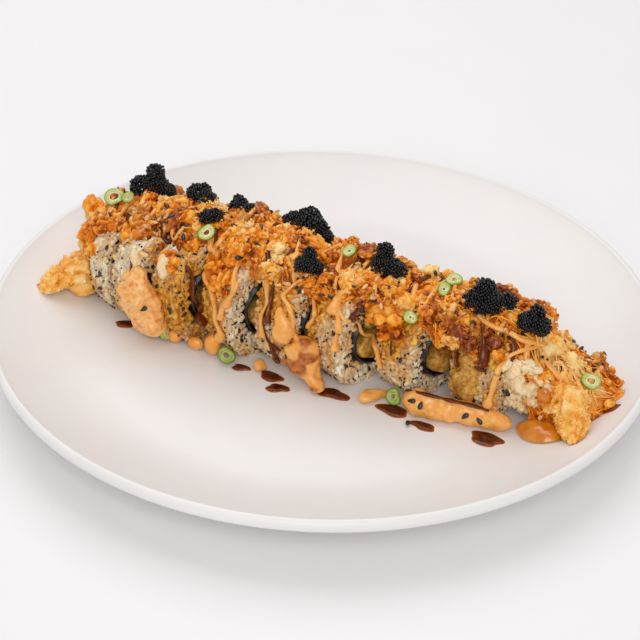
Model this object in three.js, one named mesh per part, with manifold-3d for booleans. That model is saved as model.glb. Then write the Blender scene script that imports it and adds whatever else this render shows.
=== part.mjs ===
// A sliced inside-out sushi roll with two fried prawns in it, served on its plate. Millimetres, +Z up.
// The origin is the middle of the plate's foot. The row of slices runs along X, and its open side,
// where the cut faces show, looks towards -Y.
import * as THREE from "three";
import { mergeVertices } from "three/addons/utils/BufferGeometryUtils.js";
import Module from "manifold-3d";

const wasm = await Module();
wasm.setup();

// Plate: a coupe of turned porcelain, flat in the well and rising to a rounded lip.
const RIM_RADIUS = 127;
const RIM_HEIGHT = 22.5;
const WELL_RADIUS = 86;
const WELL_HEIGHT = 7;
const BODY_THICKNESS = 4.2;
const FOOT_RADIUS = 71;
const FOOT_WIDTH = 5;
const LIP_INNER_RADIUS = 123.4;
const LIP_INNER_HEIGHT = 21.2;
const RISE_POWER = 1.8;
const PLATE_SEGMENTS = 44;

// Sushi slices: rice outside, seaweed inside it, then fried prawn and avocado.
const RICE_THICKNESS = 7;
const RICE_BUMP = 0.55;
const SEAWEED_THICKNESS = 0.8;
const CLEARANCE = 0.35;
const SEAT = 0.92; // how high a slice's middle stands, as a share of its radius
const SLICE_WIDTH = 1.1; // half width of a pressed slice, as a share of its radius (its half height)
const SLICE_SQUARE = 3; // outline of a slice: 2 is an oval, and more is squarer
const SLICES = [
  { x: -77.5, y: 1.5, radius: 19, thickness: 10, yaw: 30 },
  { x: -63, y: -4.5, radius: 20, thickness: 13.5, yaw: 30 },
  { x: -44.5, y: -6.5, radius: 20.5, thickness: 15, yaw: 30 },
  { x: -23.3, y: -7, radius: 20.5, thickness: 16.5, yaw: 28 },
  { x: -1.5, y: -9.8, radius: 19.7, thickness: 17.5, yaw: 26 },
  { x: 19.5, y: -10.8, radius: 19.3, thickness: 16.5, yaw: 28 },
  { x: 44.5, y: -9.5, radius: 18, thickness: 17, yaw: 27 },
  { x: 71, y: -10, radius: 17, thickness: 19, yaw: 16 },
];
const PRAWN = { side: 0, up: -4.6, halfWidth: 11.9, halfHeight: 8.1 };
const AVOCADO = { side: 0, up: 8.7, halfWidth: 9.6, halfHeight: 3.4 };
const CRAB_STICK = { slice: 1, side: 10, up: 1.8, halfWidth: 2.3, halfHeight: 5.8 };
const PRAWN_PROUD = 0.9; // how far a prawn stands out of its cut faces
const PROUD_RIGHT = { 6: 4, 7: 2 }; // by slice, where it stands out further
const PROUD_LEFT = { 0: 2 };

// Topping: crab salad and batter crumbs in chilli mayonnaise, heaped along the top of the row.
// Each station is [x, crest height, half width, height of the lower edge].
const TOPPING = [
  [-102, 32, 7, 26],
  [-97, 40, 11, 26],
  [-88, 48.5, 14, 31],
  [-78, 50, 15, 37],
  [-64, 52.5, 15.5, 40.5],
  [-44, 52, 15.5, 43],
  [-28, 54, 16, 43],
  [-12, 52.5, 17, 42.5],
  [8, 49.5, 16.5, 41.5],
  [24, 48.5, 16, 41],
  [42, 46, 16, 38],
  [58, 45, 17, 35],
  [70, 46, 17.5, 32],
  [84, 41.5, 18, 22],
  [89, 34.5, 18.5, 12],
  [96, 29, 18.5, 10],
  [106, 26, 17, 10],
  [113, 22, 12, 11],
  [117, 19, 6, 14],
];
const ROW_MIDDLE = [
  [-105, 4],
  [-85, 4],
  [-60, 0.5],
  [-40, -2.5],
  [-20, -5],
  [0, -8],
  [20, -9],
  [43, -9],
  [75, -8],
  [118, -7.5],
];
const TOPPING_STEP = 9;
const TOPPING_SIDES = 9;
const TOPPING_LUMP = 1.5;
const CRUMB_COUNT = 18;
const CRUMB_RADIUS = [2, 3.6];
const ROOM_SEGMENTS = 16;

// Thick drizzle that hangs from the topping down the cut faces: [x at the top, x at the foot, top, foot, radius].
const DRIZZLES = [
  [-42.5, -35, 42, 9, 1.7],
  [-29.5, -34.5, 43, 19, 1.6],
  [-12.5, -7.5, 42, 20, 1.7],
  [-5.5, 2, 42, 24, 1.6],
  [8.5, 2.5, 42, 28, 1.6],
  [13.5, 22.5, 40, 17, 1.5],
  [21.5, 26.5, 41, 15, 1.6],
  [47.5, 52.5, 38, 28, 1.5],
  [67.5, 64.5, 36, 11, 1.6],
  [80, 96, 36, 20, 2.2],
];
const DRIZZLE_STEPS = 4;
const DRIZZLE_SIDES = 5;

// Roe: heaps of black flying-fish eggs. Each lump is [x, y, z, radius].
const ROE_HEAPS = [
  [[-81, 12, 51, 5.2], [-74.5, 12, 51.6, 5.6], [-76, 13, 56.8, 3.8], [-70, 10.5, 51.2, 3.6]],
  [[-57.4, 11.5, 53, 4.6], [-53, 10.5, 52, 4.2], [-55.4, 12.5, 53.6, 3.2]],
  [[-47, -4.2, 53, 3.8], [-43.3, -3.7, 53.9, 3.6]],
  [[-39, 9.5, 52.4, 4.2], [-34, 8, 52.4, 3.2], [-40, 10.5, 53.4, 2.8]],
  [[-15.3, 7.5, 51.5, 5.4], [-7.8, 7, 51.5, 5.8], [-10.8, 9, 53, 4.6], [-2.3, 5, 49.2, 3.2]],
  [[-1.7, -18.3, 51.2, 4.2], [2, -17.8, 50.2, 3.2], [-0.7, -17.3, 54.5, 2.8]],
  [[24.5, -6.2, 50.3, 4.8], [29, -7.2, 49.6, 4.6], [24, -4.7, 54.4, 3.4]],
  [[62.6, -12.4, 47.1, 6], [67.6, -12.4, 48.1, 5.2], [72.6, -10.9, 48.2, 3.2], [64.1, -11.4, 52.1, 4]],
  [[81.5, -14, 44.2, 4.4], [85.5, -14, 43.6, 4.2], [83.5, -13, 47.3, 3.2]],
];
const ROE_ROUGHNESS = 0.1;
const ROE_GRAIN = 0.85;
const ROE_GRAINS = 2;
const ROE_FINE = 5.3; // lumps larger than this get more corners

// Scallion rings: [x, y, z, outer radius, azimuth and elevation of the ring's axis in degrees].
const RINGS = [
  [-88.4, 1.6, 49.8, 3.6, -70, 40],
  [-82, 0.8, 51.2, 2.4, -40, 30],
  [-43, -13, 51.8, 3.1, -75, 45],
  [50.2, -2.2, 47, 3, -60, 70],
  [48.8, -10.4, 47.5, 2.5, -70, 50],
  [40.8, -24.7, 42.2, 2.5, -65, 35],
  [10.5, -5, 51.6, 2.6, -80, 60],
  [106.5, -16.5, 26.4, 3.3, -60, 40],
  [-28.2, -30, 10.9, 3.3, -85, 50],
  [38, -30.5, 10.2, 3, -80, 45],
];
const RING_HEIGHT = 1.8;
const RING_WALL = 1.3;
const RING_SEGMENTS = 8;

// Sauce that has mass of its own: oval stations [x, y, z, half width, half height] along each run.
const SAUCE_RUNS = {
  mayo_blob_left: [
    [-65.5, -24, 39, 2.4, 2.4],
    [-65, -25.5, 34, 4.6, 3.6],
    [-65.2, -26.5, 25.5, 8, 4.4],
    [-65, -26, 17.5, 9, 4.8],
    [-64.8, -25.5, 11.5, 6.2, 4],
  ],
  mayo_blob_middle: [
    [2.5, -28.5, 26, 2.6, 2.6],
    [2.4, -29.5, 21.5, 6, 4.6],
    [3, -30, 15.5, 6.2, 4.4],
    [7.5, -33, 10, 4.4, 2.8],
    [10, -36.5, 8.4, 2.6, 1.4],
  ],
  mayo_band_right: [
    [41.5, -29.5, 11.5, 2, 2],
    [46, -32, 11.8, 4.6, 4.6],
    [54, -33, 12, 4.6, 4.8],
    [63, -32, 11.6, 4.2, 4.4],
    [72, -31.2, 11.2, 3.8, 4],
    [81, -30.5, 11, 1.8, 2],
  ],
  mayo_drop_1: [
    [-17.5, -29.1, 8.6, 1, 1],
    [-14.8, -29.1, 9, 2.8, 1.8],
    [-12.3, -29.1, 8.6, 1, 1],
  ],
  mayo_drop_2: [
    [25.5, -33, 8.8, 1, 1],
    [28.2, -32.6, 9.2, 3, 2],
    [32, -29.5, 9, 2.2, 1.8],
    [36, -27, 8.6, 1, 1],
  ],
  amber_sauce: [
    [84, -27.5, 8.6, 1.6, 1],
    [87.5, -29, 9, 4.6, 3.2],
    [93, -31.2, 9.6, 6, 4.2],
    [98.5, -33.4, 9.6, 5, 3.6],
    [102.5, -36, 9.8, 2, 1.4],
  ],
};

// The two prawns that end in a tail: stations [x, y, z, half width, half height] past the slice's cut.
const TAILS = [
  {
    slice: 0,
    towards: -1,
    stations: [
      [-88, 5, 20.5, 11, 10.6],
      [-94, 0, 17.8, 10, 9.6],
      [-99, -5.5, 18.8, 8, 7],
      [-104, -12, 18, 7, 4.4],
      [-108.5, -18, 16.6, 5.2, 2.6],
      [-111.5, -21.5, 14.9, 2, 1.1],
    ],
  },
  {
    slice: 7,
    towards: 1,
    stations: [
      [90, -13, 19.5, 7.6, 7.4],
      [96, -19, 20, 7.6, 7.4],
      [101.5, -26, 20.5, 6.6, 7.6],
      [104.5, -32, 18.6, 5.2, 6.6],
      [106, -37, 16.4, 3.4, 4],
      [106.8, -41, 14.6, 1.6, 1.6],
    ],
  },
];
const TAIL_SIDES = 10;
const TAIL_ROUGHNESS = 0.06;

// Numbers in 0..1 that are the same on every run.
function seeded(seed) {
  let state = seed >>> 0;
  return () => {
    state = (state + 0x6d2b79f5) >>> 0;
    let t = Math.imul(state ^ (state >>> 15), 1 | state);
    t = (t + Math.imul(t ^ (t >>> 7), 61 | t)) ^ t;
    return ((t ^ (t >>> 14)) >>> 0) / 4294967296;
  };
}

// A value read off a table of [x, value, ...] stations, straight between them.
function along(table, x, column = 1) {
  const after = table.findIndex((row) => row[0] >= x);
  if (after === 0) return table[0][column];
  if (after < 0) return table[table.length - 1][column];
  const [low, high] = [table[after - 1], table[after]];
  const share = (x - low[0]) / (high[0] - low[0]);
  return low[column] + share * (high[column] - low[column]);
}

// Height of the plate's upper face at a distance from its middle.
function plateHeight(radius) {
  if (radius <= WELL_RADIUS) return WELL_HEIGHT;
  const share = (radius - WELL_RADIUS) / (LIP_INNER_RADIUS - WELL_RADIUS);
  return WELL_HEIGHT + (LIP_INNER_HEIGHT - WELL_HEIGHT) * Math.pow(share, RISE_POWER);
}

// Closed skin over a list of rings with equal counts of points. With loop the last ring joins the first,
// and otherwise a fan closes each end.
function skin(rings, loop = false) {
  const count = rings[0].length;
  const points = rings.flat();
  const faces = [];
  const last = loop ? rings.length : rings.length - 1;
  for (let i = 0; i < last; i++) {
    const next = ((i + 1) % rings.length) * count;
    for (let j = 0; j < count; j++) {
      const k = (j + 1) % count;
      faces.push(i * count + j, i * count + k, next + k, i * count + j, next + k, next + j);
    }
  }
  if (!loop) {
    for (const [start, flip] of [[0, false], [(rings.length - 1) * count, true]]) {
      const middle = new THREE.Vector3();
      for (let j = 0; j < count; j++) middle.add(points[start + j]);
      points.push(middle.divideScalar(count));
      for (let j = 0; j < count; j++) {
        const [a, b] = [start + j, start + ((j + 1) % count)];
        faces.push(points.length - 1, ...(flip ? [a, b] : [b, a]));
      }
    }
  }
  const geometry = new THREE.BufferGeometry().setFromPoints(points);
  geometry.setIndex(faces);
  if (volumeOf(points, faces) < 0) {
    for (let i = 0; i < faces.length; i += 3) [faces[i], faces[i + 1]] = [faces[i + 1], faces[i]];
    geometry.setIndex(faces);
  }
  return geometry;
}

function volumeOf(points, faces) {
  let sum = 0;
  const cross = new THREE.Vector3();
  for (let i = 0; i < faces.length; i += 3) {
    const [a, b, c] = [points[faces[i]], points[faces[i + 1]], points[faces[i + 2]]];
    sum += a.dot(cross.crossVectors(b, c)) / 6;
  }
  return sum;
}

function solidOf(geometry) {
  const bare = geometry.clone();
  for (const name of Object.keys(bare.attributes)) if (name !== "position") bare.deleteAttribute(name);
  const merged = mergeVertices(bare, 1e-3);
  const vertProperties = new Float32Array(merged.attributes.position.array);
  const triVerts = new Uint32Array(merged.index.array);
  return new wasm.Manifold(new wasm.Mesh({ numProp: 3, vertProperties, triVerts }));
}

function geometryOf(solid) {
  const mesh = solid.getMesh();
  const geometry = new THREE.BufferGeometry();
  geometry.setAttribute("position", new THREE.BufferAttribute(new Float32Array(mesh.vertProperties), 3));
  geometry.setIndex(new THREE.BufferAttribute(new Uint32Array(mesh.triVerts), 1));
  return geometry;
}

function union(solids) {
  return solids.reduce((sum, next) => sum.add(next));
}

// The biggest body of a solid, so that scraps cut loose by a boolean are dropped.
function largest(solid) {
  return solid.decompose().reduce((best, body) => (body.volume() > best.volume() ? body : best));
}

// A ball squeezed to three half sizes, its corners moved in and out by a share of them.
function lump(centre, half, detail, roughness, random) {
  const ball = mergeVertices(stripped(new THREE.IcosahedronGeometry(1, detail)), 1e-4);
  const position = ball.attributes.position;
  for (let i = 0; i < position.count; i++) {
    const reach = 1 + roughness * (random() * 2 - 1);
    position.setXYZ(i, position.getX(i) * reach, position.getY(i) * reach, position.getZ(i) * reach);
  }
  return ball.scale(...half).translate(...centre);
}

function stripped(geometry) {
  for (const name of ["normal", "uv"]) geometry.deleteAttribute(name);
  return geometry;
}

function material(colour, roughness) {
  return new THREE.MeshStandardMaterial({ color: colour, roughness, metalness: 0 });
}

const LOOKS = {
  plate: material(0xeeecea, 0.18),
  rice: material(0xd9d0c2, 0.5),
  seaweed: material(0x1c2118, 0.45),
  prawn: material(0xc8923c, 0.6),
  avocado: material(0xa9ad4a, 0.5),
  crab: material(0xf0c98e, 0.5),
  topping: material(0xe0893a, 0.5),
  roe: material(0x15161a, 0.25),
  scallion: material(0x86a832, 0.45),
  mayo: material(0xf0a85a, 0.3),
  amber: material(0xb8741c, 0.2),
};

const dish = new THREE.Group();

function add(parent, name, geometry, look) {
  const mesh = new THREE.Mesh(geometry, LOOKS[look]);
  mesh.name = name;
  parent.add(mesh);
  return mesh;
}

// Upper face of the plate as a profile, from its middle out to the lip.
function wellProfile(lift) {
  const profile = [new THREE.Vector2(0, WELL_HEIGHT + lift)];
  const steps = 6;
  for (let i = 0; i <= steps; i++) {
    const radius = WELL_RADIUS + ((LIP_INNER_RADIUS - WELL_RADIUS) * i) / steps;
    profile.push(new THREE.Vector2(radius, plateHeight(radius) + lift));
  }
  return profile;
}

// LatheGeometry turns about Y, and the plate stands on Z.
function turned(profile) {
  return new THREE.LatheGeometry(profile, PLATE_SEGMENTS).rotateX(Math.PI / 2);
}

function plate() {
  const under = WELL_HEIGHT - BODY_THICKNESS;
  const footInner = FOOT_RADIUS - FOOT_WIDTH;
  const profile = [
    ...wellProfile(0),
    new THREE.Vector2(RIM_RADIUS - 1.8, RIM_HEIGHT),
    new THREE.Vector2(RIM_RADIUS, RIM_HEIGHT - 1.4),
    new THREE.Vector2(RIM_RADIUS - 0.6, RIM_HEIGHT - 4.4),
    new THREE.Vector2(112, 10.4),
    new THREE.Vector2(96, 4.6),
    new THREE.Vector2(FOOT_RADIUS + 1.5, under),
    new THREE.Vector2(FOOT_RADIUS, 0),
    new THREE.Vector2(footInner, 0),
    new THREE.Vector2(footInner - 1.5, under),
    new THREE.Vector2(0, under),
  ];
  return turned(profile.reverse());
}

// What lies under the plate's upper face, with a little clearance, to trim food that meets the rising rim.
const belowPlate = solidOf(
  turned(
    [
      ...wellProfile(CLEARANCE),
      new THREE.Vector2(RIM_RADIUS + 3, RIM_HEIGHT + CLEARANCE),
      new THREE.Vector2(RIM_RADIUS + 3, -5),
      new THREE.Vector2(0, -5),
    ].reverse(),
  ),
);

// A slice's own frame has its cut faces at +X and -X, and its open side towards -Y.
function sliceGroup(slice) {
  const group = new THREE.Group();
  group.position.set(slice.x, slice.y, WELL_HEIGHT + CLEARANCE + SEAT * slice.radius);
  group.rotation.z = THREE.MathUtils.degToRad(-slice.yaw);
  group.updateMatrixWorld(true);
  return group;
}

// Outline of a pressed slice at an angle from its open side, as shares of its radius: a rounded square.
function outline(angle) {
  const [side, up] = [Math.cos(angle), Math.sin(angle)];
  const reach = Math.pow(Math.abs(side) ** SLICE_SQUARE + Math.abs(up) ** SLICE_SQUARE, -1 / SLICE_SQUARE);
  return [side * reach * SLICE_WIDTH, up * reach];
}

// Ring of rice grains: rows of bumps round the outside, both cut faces rough, the underside flattened.
function riceRing(slice, seed) {
  const random = seeded(seed);
  const around = 22;
  const half = slice.thickness / 2;
  const inner = slice.radius - RICE_THICKNESS;
  const floor = SEAT * slice.radius;
  const rings = [];
  for (let i = 0; i < around; i++) {
    const angle = (2 * Math.PI * i) / around;
    const [side, up] = outline(angle);
    const hole = [Math.cos(angle) * SLICE_WIDTH * inner, Math.sin(angle) * inner];
    const bump = () => RICE_BUMP * (random() * 2 - 1);
    const at = (x, radius) => {
      const height = Math.max(up * radius, -floor);
      return new THREE.Vector3(x, side * radius, height);
    };
    rings.push([
      at(-half + bump() * 0.5, slice.radius - 1.2),
      at(-half * 0.4, slice.radius + bump()),
      at(half * 0.4, slice.radius + bump()),
      at(half + bump() * 0.5, slice.radius - 1.2),
      new THREE.Vector3(half + bump() * 0.5, ...hole),
      new THREE.Vector3(-half + bump() * 0.5, ...hole),
    ]);
  }
  return skin(rings, true);
}

// Ring of seaweed, a little proud of the rice at both cuts.
function seaweedRing(slice) {
  const around = 12;
  const half = slice.thickness / 2 + 0.4;
  const outer = slice.radius - RICE_THICKNESS - CLEARANCE - 0.25;
  const rings = [];
  for (let i = 0; i < around; i++) {
    const angle = (2 * Math.PI * i) / around;
    const side = Math.cos(angle) * SLICE_WIDTH;
    const at = (x, radius) => new THREE.Vector3(x, side * radius, Math.sin(angle) * radius);
    const inner = outer - SEAWEED_THICKNESS;
    rings.push([at(-half, inner), at(-half, outer), at(half, outer), at(half, inner)]);
  }
  return skin(rings, true);
}

// Fillings are drawn for a slice with 22.5 mm of radius and follow the hole in the seaweed.
function holeScale(slice) {
  return (slice.radius - 8.9) / 13.6;
}

// An oval rod that runs through the slice, its sizes scaled to the slice's.
function fillingRod(slice, shape, proudLeft, proudRight, grow = 0) {
  const sides = 12;
  const scale = holeScale(slice);
  const half = slice.thickness / 2;
  const rings = [-half - proudLeft - grow, half + proudRight + grow].map((x) => {
    return Array.from({ length: sides }, (_, j) => {
      const angle = (2 * Math.PI * j) / sides;
      const wide = shape.halfWidth * scale * SLICE_WIDTH + grow;
      const side = shape.side * scale * SLICE_WIDTH + Math.cos(angle) * wide;
      const up = shape.up * scale + Math.sin(angle) * (shape.halfHeight * scale + grow);
      return new THREE.Vector3(x, -side, up);
    });
  });
  return skin(rings);
}

// A solid with oval cross-sections at stations [x, y, z, half width, half height]. The width lies level,
// across the run, and a run that goes steeply down keeps it along X.
function ovalRun(stations, sides, roughness, seed, grow = 0) {
  const random = seeded(seed);
  const rings = stations.map(([x, y, z, wide, high], i) => {
    const before = stations[Math.max(i - 1, 0)];
    const after = stations[Math.min(i + 1, stations.length - 1)];
    const path = new THREE.Vector3(after[0] - before[0], after[1] - before[1], after[2] - before[2]).normalize();
    const steep = Math.abs(path.z) > 0.75;
    const across = steep ? new THREE.Vector3(1, 0, 0) : new THREE.Vector3(path.y, -path.x, 0).normalize();
    const rise = steep ? new THREE.Vector3(0, -1, 0) : new THREE.Vector3(0, 0, 1);
    return Array.from({ length: sides }, (_, j) => {
      const angle = (2 * Math.PI * j) / sides;
      const rough = 1 + roughness * (random() * 2 - 1);
      const point = new THREE.Vector3(x, y, z);
      point.addScaledVector(across, Math.cos(angle) * (wide + grow) * rough);
      return point.addScaledVector(rise, Math.sin(angle) * (high + grow) * rough);
    });
  });
  return solidOf(skin(rings));
}

// The stretch of fried prawn past the last cut, from inside its slice to the tail.
function tailRun(tail, grow = 0) {
  const slice = SLICES[tail.slice];
  const group = sliceGroup(slice);
  const scale = holeScale(slice);
  const start = tail.towards * (slice.thickness / 2 - 2);
  const cut = new THREE.Vector3(start, 0, PRAWN.up * scale).applyMatrix4(group.matrixWorld);
  const first = [cut.x, cut.y, cut.z, PRAWN.halfWidth * scale * 0.8, PRAWN.halfHeight * scale * 0.9];
  const run = ovalRun([first, ...tail.stations], TAIL_SIDES, TAIL_ROUGHNESS, 71 + tail.slice, grow);
  return run.subtract(belowPlate).subtract(disc(slice, slice.thickness / 2 + 0.8));
}

// A block where a slice is, a little wider than its bumps.
function disc(slice, half) {
  const radius = (slice.radius + RICE_BUMP + CLEARANCE) / Math.cos(Math.PI / ROOM_SEGMENTS);
  const rings = [-half, half].map((x) =>
    Array.from({ length: ROOM_SEGMENTS }, (_, i) => {
      const [side, up] = outline((2 * Math.PI * (i + 0.5)) / ROOM_SEGMENTS);
      return new THREE.Vector3(x, side * radius, up * radius);
    }),
  );
  return solidOf(skin(rings).applyMatrix4(sliceGroup(slice).matrixWorld));
}

// How far towards -Y the slices reach at a place and height, or the row's middle where there is a gap.
function frontOf(x, z) {
  let front = along(ROW_MIDDLE, x) - 9;
  for (const slice of SLICES) {
    const yaw = THREE.MathUtils.degToRad(slice.yaw);
    const [c, s] = [Math.cos(yaw), Math.sin(yaw)];
    const rise = z - (WELL_HEIGHT + CLEARANCE + SEAT * slice.radius);
    const share = Math.min(Math.abs(rise) / (slice.radius + 1), 1);
    const reach = SLICE_WIDTH * (slice.radius + 1) * Math.pow(1 - share ** SLICE_SQUARE, 1 / SLICE_SQUARE);
    const half = slice.thickness / 2 + PRAWN_PROUD + CLEARANCE;
    const offset = x - slice.x;
    const forward = (offset + reach * s) / c;
    if (Math.abs(forward) <= half) front = Math.min(front, slice.y - forward * s - reach * c);
    const across = (half * c - offset) / s;
    if (forward > half && Math.abs(across) <= reach) front = Math.min(front, slice.y - half * s - across * c);
  }
  return front;
}

function toppingCore() {
  const random = seeded(11);
  const [first, last] = [TOPPING[0][0], TOPPING[TOPPING.length - 1][0]];
  const count = Math.round((last - first) / TOPPING_STEP);
  const rings = [];
  for (let i = 0; i <= count; i++) {
    const x = first + ((last - first) * i) / count;
    const [crest, half, edge] = [1, 2, 3].map((column) => along(TOPPING, x, column));
    const middle = along(ROW_MIDDLE, x);
    const ring = [];
    for (let j = 0; j < TOPPING_SIDES; j++) {
      const angle = (Math.PI * j) / (TOPPING_SIDES - 1);
      const lumpy = TOPPING_LUMP * (random() * 2 - 1);
      const y = middle - Math.cos(angle) * (half + lumpy);
      const z = edge + (crest - edge) * Math.pow(Math.sin(angle), 0.8) + lumpy * Math.sin(angle);
      ring.push(new THREE.Vector3(x + (random() - 0.5) * 2, y, z));
    }
    ring.push(new THREE.Vector3(x, middle + half * 0.5, edge - 4), new THREE.Vector3(x, middle - half * 0.5, edge - 4));
    rings.push(ring);
  }
  return solidOf(skin(rings));
}

// Flakes of crab and crumbs of batter that stand out of the heap, spread evenly along it.
function toppingCrumbs() {
  const random = seeded(29);
  const crumbs = [];
  for (let i = 0; i < CRUMB_COUNT; i++) {
    const x = -99 + (211 * (i + 0.5)) / CRUMB_COUNT + (random() - 0.5) * 3;
    const [crest, half, edge] = [1, 2, 3].map((column) => along(TOPPING, x, column));
    const angle = Math.PI * (0.1 + 0.8 * ((i * 0.618) % 1));
    const y = along(ROW_MIDDLE, x) - Math.cos(angle) * half;
    const z = edge + (crest - edge) * Math.pow(Math.sin(angle), 0.8);
    const size = CRUMB_RADIUS[0] + (CRUMB_RADIUS[1] - CRUMB_RADIUS[0]) * random();
    const long = size * (1 + random() * 0.8);
    crumbs.push(solidOf(lump([x, y, z], [long, size, size * 0.9], 0, 0.25, random)));
  }
  return crumbs;
}

function drizzle([xTop, xFoot, top, foot, radius]) {
  const points = [];
  for (let i = 0; i <= DRIZZLE_STEPS; i++) {
    const share = i / DRIZZLE_STEPS;
    const [x, z] = [xTop + (xFoot - xTop) * share, top + (foot - top) * share];
    points.push(new THREE.Vector3(x, frontOf(x, z) - 0.6, z));
  }
  points.unshift(new THREE.Vector3(xTop - 1, points[0].y + 6, top + 3));
  const path = new THREE.CatmullRomCurve3(points);
  const section = new THREE.Shape();
  for (let j = 0; j < DRIZZLE_SIDES; j++) {
    const angle = (2 * Math.PI * j) / DRIZZLE_SIDES;
    section[j ? "lineTo" : "moveTo"](Math.cos(angle) * radius, Math.sin(angle) * radius);
  }
  return solidOf(stripped(new THREE.ExtrudeGeometry(section, { steps: DRIZZLE_STEPS, bevelEnabled: false, extrudePath: path })));
}

// A heap of roe: rough lumps with single eggs on top.
function roeHeap(lumps, seed, grow = 0) {
  const random = seeded(seed);
  const solids = lumps.map(([x, y, z, radius]) => {
    const half = [radius + grow, radius + grow, radius * 0.9 + grow];
    const detail = radius > ROE_FINE ? 1 : 0;
    return solidOf(lump([x, y, z], half, detail, ROE_ROUGHNESS, random));
  });
  for (const [x, y, z, radius] of lumps) {
    for (let i = 0; i < ROE_GRAINS; i++) {
      const angle = 2 * Math.PI * random();
      const rise = 0.66 + 0.3 * random();
      const reach = radius * (radius > ROE_FINE ? 0.93 : 0.8);
      const flat = Math.sqrt(1 - rise * rise) * reach;
      const egg = new THREE.OctahedronGeometry(ROE_GRAIN + grow, 0);
      egg.translate(x + Math.cos(angle) * flat, y + Math.sin(angle) * flat, z + rise * reach * 0.9);
      solids.push(solidOf(stripped(egg)));
    }
  }
  return largest(union(solids));
}

// A cut ring of scallion, placed by the direction of its axis.
function scallion([x, y, z, radius, azimuth, elevation], grow = 0) {
  const inner = radius - RING_WALL;
  const half = RING_HEIGHT / 2 + grow;
  const rings = [];
  for (let i = 0; i < RING_SEGMENTS; i++) {
    const angle = (2 * Math.PI * i) / RING_SEGMENTS;
    const at = (size, height) => new THREE.Vector3(Math.cos(angle) * size, Math.sin(angle) * size, height);
    rings.push([at(inner, -half), at(radius + grow, -half), at(radius + grow, half), at(inner, half)]);
  }
  const [turn, lift] = [azimuth, elevation].map(THREE.MathUtils.degToRad);
  const axis = new THREE.Vector3(Math.cos(lift) * Math.cos(turn), Math.cos(lift) * Math.sin(turn), Math.sin(lift));
  const facing = new THREE.Quaternion().setFromUnitVectors(new THREE.Vector3(0, 0, 1), axis);
  const shape = grow
    ? new THREE.CylinderGeometry(radius + grow, radius + grow, 2 * half, RING_SEGMENTS).rotateX(Math.PI / 2)
    : skin(rings, true);
  return shape.applyQuaternion(facing).translate(x, y, z);
}

add(dish, "plate", plate(), "plate");

// The slices, each in its own turned group.
SLICES.forEach((slice, i) => {
  const group = sliceGroup(slice);
  dish.add(group);
  const number = i + 1;
  add(group, "rice_" + number, riceRing(slice, 100 + i), "rice");
  add(group, "nori_" + number, seaweedRing(slice), "seaweed");
  add(group, "avocado_" + number, fillingRod(slice, AVOCADO, 0.3, 0.3), "avocado");
  const tail = TAILS.find((end) => end.slice === i);
  const stick = CRAB_STICK.slice === i;
  const shape = stick ? { ...PRAWN, side: -2, halfWidth: 9.2 } : PRAWN;
  let rod = fillingRod(slice, shape, PROUD_LEFT[i] ?? PRAWN_PROUD, PROUD_RIGHT[i] ?? PRAWN_PROUD);
  if (tail) {
    const run = tailRun(tail).transform(group.matrixWorld.clone().invert().toArray());
    rod = geometryOf(largest(solidOf(rod).add(run)));
  }
  add(group, "prawn_" + number, rod, "prawn");
  if (stick) add(group, "crab_stick", fillingRod(slice, CRAB_STICK, 0.5, 1.1), "crab");
});

// Everything that the topping and the sauces lie against, each a little larger than it is.
const proudRods = [...Object.keys(PROUD_LEFT), ...Object.keys(PROUD_RIGHT)].map((i) => {
  const rod = fillingRod(SLICES[i], PRAWN, PROUD_LEFT[i] ?? 0, PROUD_RIGHT[i] ?? 0, CLEARANCE);
  return solidOf(rod.applyMatrix4(sliceGroup(SLICES[i]).matrixWorld));
});
const carriers = union([
  ...SLICES.map((slice) => disc(slice, slice.thickness / 2 + PRAWN_PROUD + CLEARANCE)),
  ...TAILS.map((tail) => tailRun(tail, CLEARANCE + 0.1)),
  ...proudRods,
  belowPlate,
]);

ROE_HEAPS.forEach((lumps, i) => add(dish, "roe_" + (i + 1), geometryOf(roeHeap(lumps, 200 + i)), "roe"));
RINGS.forEach((ring, i) => add(dish, "scallion_" + (i + 1), scallion(ring), "scallion"));

const onTop = union([
  ...ROE_HEAPS.map((lumps, i) => roeHeap(lumps, 200 + i, CLEARANCE)),
  ...RINGS.map((ring) => solidOf(scallion(ring, CLEARANCE))),
]);
const topping = union([toppingCore(), ...toppingCrumbs(), ...DRIZZLES.map(drizzle)]);
const trimmed = largest(topping.subtract(carriers).subtract(onTop));
add(dish, "crab_topping", geometryOf(trimmed), "topping");

// Sauces give way to the slices, the rings and the drizzle that runs into them.
const wideDrizzles = union(DRIZZLES.map((run) => drizzle([...run.slice(0, 4), run[4] + CLEARANCE])));
for (const [name, stations] of Object.entries(SAUCE_RUNS)) {
  const run = ovalRun(stations, 8, 0.05, name.length);
  const shape = largest(run.subtract(carriers).subtract(onTop).subtract(wideDrizzles));
  add(dish, name, geometryOf(shape), name === "amber_sauce" ? "amber" : "mayo");
}

export default dish;
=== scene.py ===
# %% [markdown]
# # A sliced sushi roll on its plate
# The dish is an inside-out roll in eight slices, leaning like dominoes on a white plate. Each slice is
# rice round a sheet of seaweed round fried prawn and avocado. A long heap of spicy crab salad and batter
# crumbs lies on top, with roe, scallion, sesame, chilli mayonnaise and a dark sweet sauce.
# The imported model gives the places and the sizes, and this script dresses each of its solids.

# %% Load the frame
import math

import bpy
import numpy as np
from mathutils import Matrix


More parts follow.
